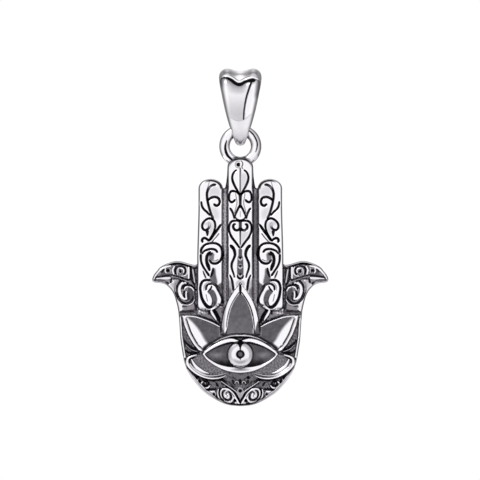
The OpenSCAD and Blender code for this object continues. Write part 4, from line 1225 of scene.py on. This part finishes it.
# %% Belt line of the bail
bail_half = bail_high[0]
CHAIN_R, EYE_R = 1.5 * MM, 1.0 * MM
EYE_FLOOR = -6.36 * MM
BAND_T, EYE_T, FOOT_W = 1.14 * MM, 1.0 * MM, 1.16 * MM
top_c, foot_c = -CHAIN_R, EYE_FLOOR + EYE_R
lean = np.arcsin((CHAIN_R - EYE_R) / (top_c - foot_c))


def belt(steps):
    """Stations down the front half of the loop: forward, up, and the outward normal's angle."""
    top, leg, foot = steps
    quarter = np.pi / 2 + lean
    angle = np.concatenate([np.linspace(0, quarter, top, endpoint=False), np.full(leg, quarter),
                            np.linspace(quarter, np.pi, foot)])
    share = np.concatenate([np.zeros(top), np.arange(leg) / leg, np.ones(foot)])
    reach = mix(CHAIN_R, EYE_R, share)
    centre = mix(top_c, foot_c, share)
    return np.stack([reach * np.sin(angle), centre + reach * np.cos(angle), angle], 1)


half_belt = belt((84, 70, 26))
print("belt of", len(half_belt), "stations, first and last", (half_belt[[0, -1], 1] / MM).round(2), "mm up")

# %% [markdown]
# The section changes on its way down. Between the humps the outer face is
# level but for the valley, and its flank is a quarter ellipse. The valley
# deepens over the shoulder and then runs out quickly, so that the shine
# breaks in a wave there. Near the foot the section turns into half a circle.

# %% Section of the bail
HUMP = 0.61                      # place of a hump, as a share of half the width
TOP_VALLEY, SHOULDER_VALLEY, LEG_VALLEY = 0.27, 0.47, 0.12
SHOULDER_TURN, RUN_OUT_TURN = np.radians(50), np.radians(42)
EDGE_THICK, FACE_THICK = 0.18, 0.82   # shares of the thickness that the flank starts at, and rises by
TURN_START, TURN_SPAN = 0.4, 0.5      # where the section begins to turn round, and over how much


def bail_section(across, fall, angle, outer):
    """Height of the band's outer or inner face, by the share of half its width and of the way down.

    The valley is the square of 1 minus the square of the share over the
    hump's place, and a soft step leads from the band to the round foot.
    """
    thick = mix(BAND_T, EYE_T, fall)
    across = np.abs(across)
    turned = soft((fall - TURN_START) / TURN_SPAN)
    round_face = 0.5 + 0.5 * np.sqrt(np.clip(1 - across * across, 0, 1))
    if not outer:
        return thick * (1 - round_face) * turned
    over = mix(TOP_VALLEY, SHOULDER_VALLEY, soft(angle / SHOULDER_TURN))
    leg = LEG_VALLEY * np.clip(1 - fall / 0.8, 0, 1) ** 2
    deep = mix(over, leg, soft((angle - SHOULDER_TURN) / RUN_OUT_TURN))
    valley = deep * (1 - np.minimum(across / HUMP, 1) ** 2) ** 2
    flank = np.sqrt(np.clip(1 - (np.maximum(0, across - HUMP) / (1 - HUMP)) ** 2, 0, 1))
    band = EDGE_THICK + FACE_THICK * np.where(across < HUMP, 1 - valley, flank)
    return thick * mix(band, round_face, turned)


# How far down each station is, as a share of the bail's height
middle = half_belt[:, 1] + np.cos(half_belt[:, 2]) * np.where(half_belt[:, 2] < np.pi / 2, BAND_T, EYE_T) / 2
down = (BAND_T / 2 - middle) / (BAND_T / 2 - (EYE_FLOOR - EYE_T / 2))
stations = np.vstack([half_belt, half_belt[-2:0:-1]])
down = np.concatenate([down, down[-2:0:-1]])[:, None]
front = np.concatenate([np.full(len(half_belt), -1.0), np.full(len(half_belt) - 2, 1.0)])[:, None]
even = np.linspace(-1, 1, 75)    # corners across the band, closer to each other at its edges
spread = 0.45 * even + 0.55 * np.sin(np.pi / 2 * even)
width = bail_half * (1 - (1 - FOOT_W / (2 * bail_half)) * (down + 2 * down ** 2) / 3)
shares = np.concatenate([spread, spread[::-1]])[None, :]
is_outer = np.repeat([True, False], len(spread))[None, :]
normal = stations[:, 2][:, None]
rise = np.where(is_outer, bail_section(shares, down, normal, True), bail_section(shares, down, normal, False))
print("band of", rise.shape[0], "sections,", (rise.max() / MM).round(2), "mm thick at most")

# %% [markdown]
# A fine crease follows the wave over the front of the bail, where the band
# was folded over its former: a raised lip, and a shallow groove under it that
# a painted dark reflection blackens. It is drawn in the same units as the hand,
# across from the middle and down from the chain's seat, and measured on the
# band's own front.

# %% Crease on the front of the bail
def bail_place(rise):
    """Corners of the band: across by the share of the width, forward and up along the station's normal."""
    return np.stack([shares * width, front * (stations[:, :1] + rise * np.sin(normal)),
                     stations[:, 1:2] + rise * np.cos(normal)], 2)


at_rest = bail_place(rise)
facing = (is_outer & (front < 0)).ravel()
drawn = np.stack([at_rest[..., 0].ravel() / UNIT, -at_rest[..., 2].ravel() / UNIT], 1)
drawn_across, drawn_down = drawn.T
LIP_HIGH, CREASE_DEEP = 0.05 * MM, 0.03 * MM
wave = sweep([(-21, 6.5), (-20, 3.2), (-18.4, 1), (-16.3, 0.2), (-14.3, 0.4), (-12.3, 1), (-10.3, 2),
              (-8.3, 3.3), (-6.3, 4.9), (-4.3, 6.3), (-2.3, 7.1), (-0.3, 7.2), (1.7, 6.4), (3.7, 5), (5.7, 4),
              (7.7, 3.4), (9.7, 3.2), (11.7, 3.1), (13.7, 2.8), (16, 2.4), (18.6, 3.4), (20, 6)])
gap, share, spot = in_parts(lambda p: nearest(p, wave), drawn)
above = np.where(drawn_down < spot[:, 1], gap, -gap)
line_half = np.interp(spot[:, 0], [-20, -16.3, -14, -12.3, -8.3, -4.3, -0.3, 3.7, 7.7, 11.7, 13.7, 15.4, 17],
                      [0.2, 0.8, 1.0, 1.3, 1.8, 1.8, 2.0, 1.6, 1.7, 2.2, 1.9, 0.5, 0.2])
crease = soft((line_half + 0.5 - gap) / 0.9) * facing
lip = soft(1 - np.abs(above - line_half - 1.2) / 1.3) * facing * soft((20 - np.abs(drawn_across)) / 3)
rise = rise + (LIP_HIGH * lip - CREASE_DEEP * crease).reshape(rise.shape)
# A painted dark reflection blackens the crease
groove = 0.97 * soft((line_half + 0.25 - gap) / 0.6)
print("crease is", (wave[:, 1].max() - wave[:, 1].min()).round(1), "units high from its hump to its trough")

# %% [markdown]
# The long dark line down the front, the arc over the foot and the soft shades
# at the edges are painted reflections and painted shade, laid over the
# tarnish. They are worked out from the distance to the crease, to the edges and
# to the arc, and the darkest one counts.

# %% Painted shades and reflections on the front of the bail
drawn_half = np.abs(drawn_across)
edge_at = np.repeat(width / UNIT, shares.shape[1], 1).ravel()
# Painted shade under the crease, on the right edge, and on the face above the arc
tail = np.interp(spot[:, 0], [-18, -12, -8, -4, 0, 4, 8, 14], [7, 7, 9, 12, 11, 6, 4, 3])
painted_shade_under_crease = np.clip(1 - (-above - line_half) / tail, 0, 1) ** 1.4 * (above < 0) * soft((19 - drawn_half) / 3)
shade = np.maximum(groove, np.interp(spot[:, 0], [-16, -8, 0, 8], [0.5, 0.44, 0.4, 0.34]) * painted_shade_under_crease)
flank = soft((drawn_half - edge_at + 6.5) / 4) * soft((24 - drawn_down) / 8)
shade = np.maximum(shade, 0.34 * flank * (drawn_across > 0) * (above < 0))
ARC_ACROSS, ARC_DOWN, ARC_BEND = -1.5, 43.2, 0.05
arc = drawn_down - ARC_DOWN + ARC_BEND * (drawn_across - ARC_ACROSS) ** 2
on_face = soft((edge_at - 1.5 - drawn_half) / np.interp(drawn_down, [18, 36], [7, 3]))
on_face = on_face * (drawn_across < 5) * (above < 0)
shade = np.maximum(shade, (0.02 + 0.17 * soft((drawn_down - 12) / 26)) * on_face * (arc < 0))
# Painted shade on the arc itself, the foot below it, the left edge, and the humps over the crease
shade = np.maximum(shade, 0.27 * soft(1 - np.abs(arc) / 0.9) * (drawn_half < 10))
shade = np.maximum(shade, (0.08 + 0.1 * soft((drawn_down - 48) / 12)) * (arc > 0))
left_edge = soft(1 - (edge_at + drawn_across) / 5.5) * soft((14 - drawn_down) / 10)
shade = np.maximum(shade, 0.4 * left_edge * (above < 0))
hump_shade = soft((drawn_half - 6) / 5) * soft((18.5 - drawn_half) / 3) * soft((above - line_half - 2) / 1.2)
shade = np.maximum(shade, 0.23 * hump_shade)
# A painted dark reflection down the front, and a dark spot near the foot
painted_reflection_line = sweep([(11.6, 3.4), (10.1, 7.5), (8.4, 12.4), (6.6, 18), (5.4, 23), (4.5, 28), (3.7, 34),
                   (3.2, 41.6)])
gap, share, _ = in_parts(lambda p: nearest(p, painted_reflection_line), drawn)
shade = np.maximum(shade, 0.88 * soft((np.interp(share, [0, 1], [1.1, 0.75]) + 0.3 - gap) / 0.7))
SPOT_ACROSS, SPOT_DOWN, SPOT_SIZE = -3.4, 62.4, 1.8
dark_spot = soft((SPOT_SIZE - np.hypot(drawn_across - SPOT_ACROSS, drawn_down - SPOT_DOWN)) / 1.6)
shade = np.maximum(shade, 0.5 * dark_spot)
bail_tarnish = (np.where(is_outer, 0.02, 0.22) + 0 * down).ravel()
# The painted shade and reflections are laid over the bail's tarnish
bail_tarnish = np.where(facing, np.maximum(bail_tarnish, shade), bail_tarnish)
bail_satin = np.where(is_outer, 0.9 * soft((down - 0.76) / 0.16), 0.4).ravel()
bail_band = closed_mesh("bail_band", bail_place(rise).reshape(-1, 3), wrapped_faces(*rise.shape),
                        tarnish=bail_tarnish, satin=bail_satin)

# %% [markdown]
# ## Which way the faces point
#
# The signed volume of a closed mesh is the sum, over its triangles, of each
# one's three corners multiplied as a box, divided by six. Below zero, the mesh
# is inside out. Above zero is not proof enough, because one face turned round
# changes the sum and not its sign. Such a face runs along its edges the same
# way as its neighbours do, so these odd edges are counted and printed.
# Recalculating the normals would turn faces too, but would not tell whether
# the volume is that of the casting.

# %% Volume and odd edges of each piece
def corners_and_places(made):
    """The three corners of each triangle of a mesh, and the place of each corner."""
    made.data.calc_loop_triangles()
    tri = np.zeros(len(made.data.loop_triangles) * 3, np.int32)
    made.data.loop_triangles.foreach_get("vertices", tri)
    co = np.zeros(len(made.data.vertices) * 3)
    made.data.vertices.foreach_get("co", co)
    return tri.reshape(-1, 3), co.reshape(-1, 3)


def signed_volume(made):
    """Volume of a closed mesh, right only where all its faces run the same way round."""
    tri, co = corners_and_places(made)
    a, b, c = co[tri].transpose(1, 0, 2)
    return np.einsum("ij,ij->i", a, np.cross(b, c)).sum() / 6


def odd_edges(made):
    """How many edges two triangles run along the same way, as they do where one is turned round."""
    tri, co = corners_and_places(made)
    runs = tri.ravel().astype(np.int64) * len(co) + np.roll(tri, -1, axis=1).ravel()
    return len(runs) - len(np.unique(runs))


for made in (hand_relief, hand_ring, bail_band):
    if signed_volume(made) < 0:
        made.data.flip_normals()
    print(made.name, "volume", round(signed_volume(made) / MM ** 3, 1), "mm3,", odd_edges(made), "odd edges")

# %% [markdown]
# ## Silver
#
# Both finishes are one metal, a near mirror with faint lines from the
# polishing cloth. Tarnish, with the painted shade and reflections laid into
# it, and satin come from the numbers at the piece's own corners, so both
# finishes follow the engraving. The shade is what is left after the tarnish,
# raised to the power that turns a printed grey into light. The colour turns
# from a clean white to a violet grey with the tarnish.

# %% Node helpers
def new_material(name):
    """A material with nodes, its node tree and its shader."""
    material = bpy.data.materials.new(name)
    material.use_nodes = True
    tree = material.node_tree
    return material, tree, tree.nodes["Principled BSDF"]


def add(tree, kind, **settings):
    """A new shader node of the kind, with some of its settings."""
    node = tree.nodes.new("ShaderNode" + kind)
    for key, value in settings.items():
        setattr(node, key, value)
    return node


def number(tree, operation, first, second=0.0, clamp=False):
    """A Math node, fed by numbers or sockets."""
    node = add(tree, "Math", operation=operation, use_clamp=clamp)
    for socket, value in zip(node.inputs, (first, second)):
        if isinstance(value, (int, float)):
            socket.default_value = value
        else:
            tree.links.new(value, socket)
    return node.outputs[0]


def grain(tree, scale, stretch=(1, 1, 1), detail=3.0):
    """Noise on the piece's own coordinates, stretched along an axis by a small number."""
    place = add(tree, "TexCoord")
    turn = add(tree, "Mapping")
    turn.inputs["Scale"].default_value = stretch
    noise = add(tree, "TexNoise")
    noise.inputs["Scale"].default_value = scale
    noise.inputs["Detail"].default_value = detail
    tree.links.new(place.outputs["Object"], turn.inputs["Vector"])
    tree.links.new(turn.outputs["Vector"], noise.inputs["Vector"])
    return noise.outputs["Fac"]


def bumps(tree, shader, texture, strength, distance):
    """Low bumps on a shader, from a texture."""
    bump = add(tree, "Bump")
    bump.inputs["Strength"].default_value = strength
    bump.inputs["Distance"].default_value = distance
    tree.links.new(texture, bump.inputs["Height"])
    tree.links.new(bump.outputs["Normal"], shader.inputs["Normal"])


print("node helpers ready: new_material, add, number, grain, bumps")

# %% [markdown]
# The two finishes differ only in the lines of the cloth, so one function
# makes both. An image could hold the tarnish, but it would need a map of the
# surface, and the corners lie about as close as the finest line is wide.

# %% Silver of the two slots
CLEAN, AGED = (0.945, 0.93, 0.96), (0.96, 0.865, 1.0)
PRINT_POWER = 2.2                # turns a printed grey into light
LEAST_ROUGH, WORN_ROUGH, SATIN_ROUGH = 0.05, 0.07, 0.28
CLOUD_GRAIN, WORN_GRAIN = 2600, 1500
BLACKEST = (0.004, 0.004, 0.005, 1)


def silver(name, cloth):
    """Silver whose shade is (1 - tarnish) to the power of print, and whose colour goes from clean to aged."""
    material, tree, shader = new_material(name)
    shader.inputs["Metallic"].default_value = 1.0
    dark = add(tree, "Attribute", attribute_name="tarnish").outputs["Fac"]
    dull = add(tree, "Attribute", attribute_name="satin").outputs["Fac"]
    cloud = number(tree, "SUBTRACT", grain(tree, CLOUD_GRAIN, detail=4.0), 0.5)
    patchy = number(tree, "MULTIPLY", cloud, number(tree, "MULTIPLY", dark, 0.3))
    left = number(tree, "SUBTRACT", 1.0, number(tree, "ADD", dark, patchy), clamp=True)
    shade = number(tree, "POWER", left, PRINT_POWER)
    colour = add(tree, "Mix", data_type="RGBA")
    colour.inputs["A"].default_value = BLACKEST
    metal = add(tree, "Mix", data_type="RGBA")
    metal.inputs["A"].default_value = (*CLEAN, 1)
    metal.inputs["B"].default_value = (*AGED, 1)
    tree.links.new(dark, metal.inputs["Factor"])
    tree.links.new(metal.outputs["Result"], colour.inputs["B"])
    tree.links.new(shade, colour.inputs["Factor"])
    tree.links.new(colour.outputs["Result"], shader.inputs["Base Color"])
    worn = number(tree, "MULTIPLY", grain(tree, WORN_GRAIN), WORN_ROUGH)
    worn = number(tree, "ADD", worn, LEAST_ROUGH)
    rough = number(tree, "ADD", worn, number(tree, "MULTIPLY", dull, SATIN_ROUGH), clamp=True)
    tree.links.new(rough, shader.inputs["Roughness"])
    bumps(tree, shader, grain(tree, cloth, (1.0, 1.0, 0.12)), 0.05, 0.01 * MM)
    return material


polished = silver("polished_silver", 5200)
oxidised = silver("oxidised_silver", 7000)
bail_band.data.materials.append(polished)
hand_relief.data.materials.append(oxidised)
hand_ring.data.materials.append(oxidised)
print("finishes:", [(made.name, made.data.materials[0].name) for made in (bail_band, hand_relief, hand_ring)])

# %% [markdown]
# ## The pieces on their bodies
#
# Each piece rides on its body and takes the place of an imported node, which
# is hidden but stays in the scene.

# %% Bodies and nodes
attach(bail_band, "bail")
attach(hand_relief, "hand")
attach(hand_ring, "hand")
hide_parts("bail")
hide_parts("hamsa_hand")
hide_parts("hamsa_hand")
print("three pieces placed on the bodies bail and hand")

# %% [markdown]
# ## The studio
#
# Silver shows what stands round it. A jeweller's light tent is white where
# the camera is and darker towards the sides, so that flat faces are bright
# and rounded edges draw a grey line. The camera itself sees plain white. A
# picture of a real studio could light the scene, but a brightness worked out
# from the direction needs no file and is easy to change.

# %% Tent of light
world = bpy.data.worlds.new("tent")
bpy.context.scene.world = world
world.use_nodes = True
tree = world.node_tree
tree.nodes.clear()
where = add(tree, "TexCoord").outputs["Generated"]
split = add(tree, "SeparateXYZ")
tree.links.new(where, split.inputs[0])
right, far, up = split.outputs
near_side = number(tree, "MULTIPLY", far, -1.0)
TENT_PEAK = 1.2                  # the tent's light where a level is 1


def rounds(source, levels):
    """A brightness for each angle in degrees, from a colour ramp over the whole turn."""
    ramp = add(tree, "ValToRGB")
    tree.links.new(number(tree, "ADD", number(tree, "DIVIDE", source, 2 * np.pi), 0.5), ramp.inputs["Fac"])
    stops = ramp.color_ramp.elements
    for stop, (angle, level) in zip(stops, (levels[0], levels[-1])):
        stop.position, stop.color = angle / 360 + 0.5, (level, level, level, 1)
    for angle, level in levels[1:-1]:
        stops.new(angle / 360 + 0.5).color = (level, level, level, 1)
    return number(tree, "MULTIPLY", ramp.outputs["Color"], TENT_PEAK)


def clamped(source, start, stop):
    """0 at start, 1 at stop, level outside them."""
    rise = number(tree, "SUBTRACT", source, start)
    return number(tree, "DIVIDE", rise, stop - start, clamp=True)


# Overhead: white in front, and grey behind the pendant but for one lit panel
over_head = number(tree, "ARCTAN2", up, near_side)
overhead = rounds(over_head, [(-180, 0.28), (-110, 0.4), (-70, 0.8), (-20, 0.92), (94, 0.94), (106, 0.32),
                              (180, 0.26)])
panel = clamped(number(tree, "ABSOLUTE", right), 0.38, 0.08)
behind = clamped(over_head, 1.8, 2.1)
lit = number(tree, "MULTIPLY", number(tree, "MULTIPLY", panel, behind), 0.62)
overhead = number(tree, "ADD", overhead, lit)
# Sideways: white in front, falling to grey behind
beside = number(tree, "ADD", number(tree, "MULTIPLY", clamped(near_side, -0.3, 0.6), 0.88), 0.22)
up_part = number(tree, "MULTIPLY", up, up)
right_part = number(tree, "MULTIPLY", right, right)
whole_part = number(tree, "ADD", number(tree, "ADD", up_part, right_part), 0.0001)   # never zero
blend = add(tree, "Mix", data_type="FLOAT")
tree.links.new(number(tree, "DIVIDE", up_part, whole_part), blend.inputs[0])
tree.links.new(beside, blend.inputs[2])
tree.links.new(overhead, blend.inputs[3])
# The darker opening for the lens
opening = number(tree, "ADD", number(tree, "MULTIPLY", clamped(near_side, 1.0, 0.9), 0.1), 0.9)
tent = number(tree, "MULTIPLY", blend.outputs[0], opening)
path = add(tree, "LightPath")
light = add(tree, "Mix", data_type="FLOAT")
tree.links.new(path.outputs["Is Camera Ray"], light.inputs[0])
tree.links.new(tent, light.inputs[2])
light.inputs[3].default_value = 1.02
background = add(tree, "Background")
tree.links.new(light.outputs[0], background.inputs["Color"])
output = add(tree, "OutputWorld")
tree.links.new(background.outputs[0], output.inputs["Surface"])
print("tent of light made with", len(tree.nodes), "nodes")

# %% [markdown]
# A soft lamp from the upper left gives the matt places their light, and a
# pale floor lies under the hanging pendant, below what the camera sees.

# %% Lamp and floor
FLOOR_Z, FLOOR_R, SIDES = -62 * MM, 110 * MM, 96
lamp = bpy.data.lights.new("soft_lamp", "AREA")
lamp.shape = "DISK"
lamp.size = 0.12
lamp.energy = 0.12
lamp_object = bpy.data.objects.new("soft_lamp", lamp)
lamp_object.location = (-0.16, -0.16, 0.2)
lamp_object.rotation_euler = (np.radians(48).item(), 0.0, np.radians(-45).item())
bpy.context.scene.collection.objects.link(lamp_object)

turns = np.linspace(0, 2 * np.pi, SIDES, endpoint=False)
floor_points = np.concatenate([
    np.stack([FLOOR_R * np.cos(turns), FLOOR_R * np.sin(turns), np.full(SIDES, z)], 1)
    for z in (FLOOR_Z, FLOOR_Z - 2 * MM)])
top_ring = np.arange(SIDES)
low_ring = top_ring + SIDES
floor_faces = (np.stack([top_ring, low_ring, np.roll(low_ring, -1), np.roll(top_ring, -1)], 1).tolist()
               + [low_ring[::-1].tolist(), top_ring.tolist()])
floor = closed_mesh("pale_floor", floor_points, floor_faces, flat_last=True)
paper, tree, shader = new_material("pale_paper")
shader.inputs["Base Color"].default_value = (0.8, 0.8, 0.8, 1)
shader.inputs["Roughness"].default_value = 0.8
shader.inputs["Emission Color"].default_value = (1, 1, 1, 1)
shader.inputs["Emission Strength"].default_value = 0.4
bumps(tree, shader, grain(tree, 900), 0.1, 0.05 * MM)
floor.data.materials.append(paper)

# %% [markdown]
# ## The camera
#
# The photograph was taken straight from the front with a long lens. The
# picture is 480 points wide and a unit of the drawing is one point, which
# sets how much the lens takes in at the pendant's distance. The picture's
# middle is 83 rows under the fingertip, and a third of a point left of the
# hand's middle line. A short lens held close would show more of the bail's
# sides than the photograph does.

# %% Camera
DISTANCE = 0.22
PICTURE = 480                    # width and height of the picture, in points
TIP_ROW = 157                    # row of the picture where the fingertip is
SHIFT = 0.3                      # points from the hand's middle line to the picture's
FILM = 36                        # width of the camera's film, in mm
VIEW_WIDE = PICTURE * UNIT
camera = bpy.data.cameras.new("camera")
camera.sensor_width = FILM
camera.lens = float(FILM * DISTANCE / VIEW_WIDE)
camera_object = bpy.data.objects.new("camera", camera)
camera_object.location = (-SHIFT * UNIT, -DISTANCE, tip_z - (PICTURE // 2 - TIP_ROW) * UNIT_DOWN)
camera_object.rotation_euler = (np.radians(90).item(), 0, 0)
bpy.context.scene.collection.objects.link(camera_object)
bpy.context.scene.camera = camera_object
bpy.context.scene.view_settings.view_transform = "Standard"
print("lens", round(camera.lens, 1), "mm over", round(VIEW_WIDE / MM, 1), "mm")
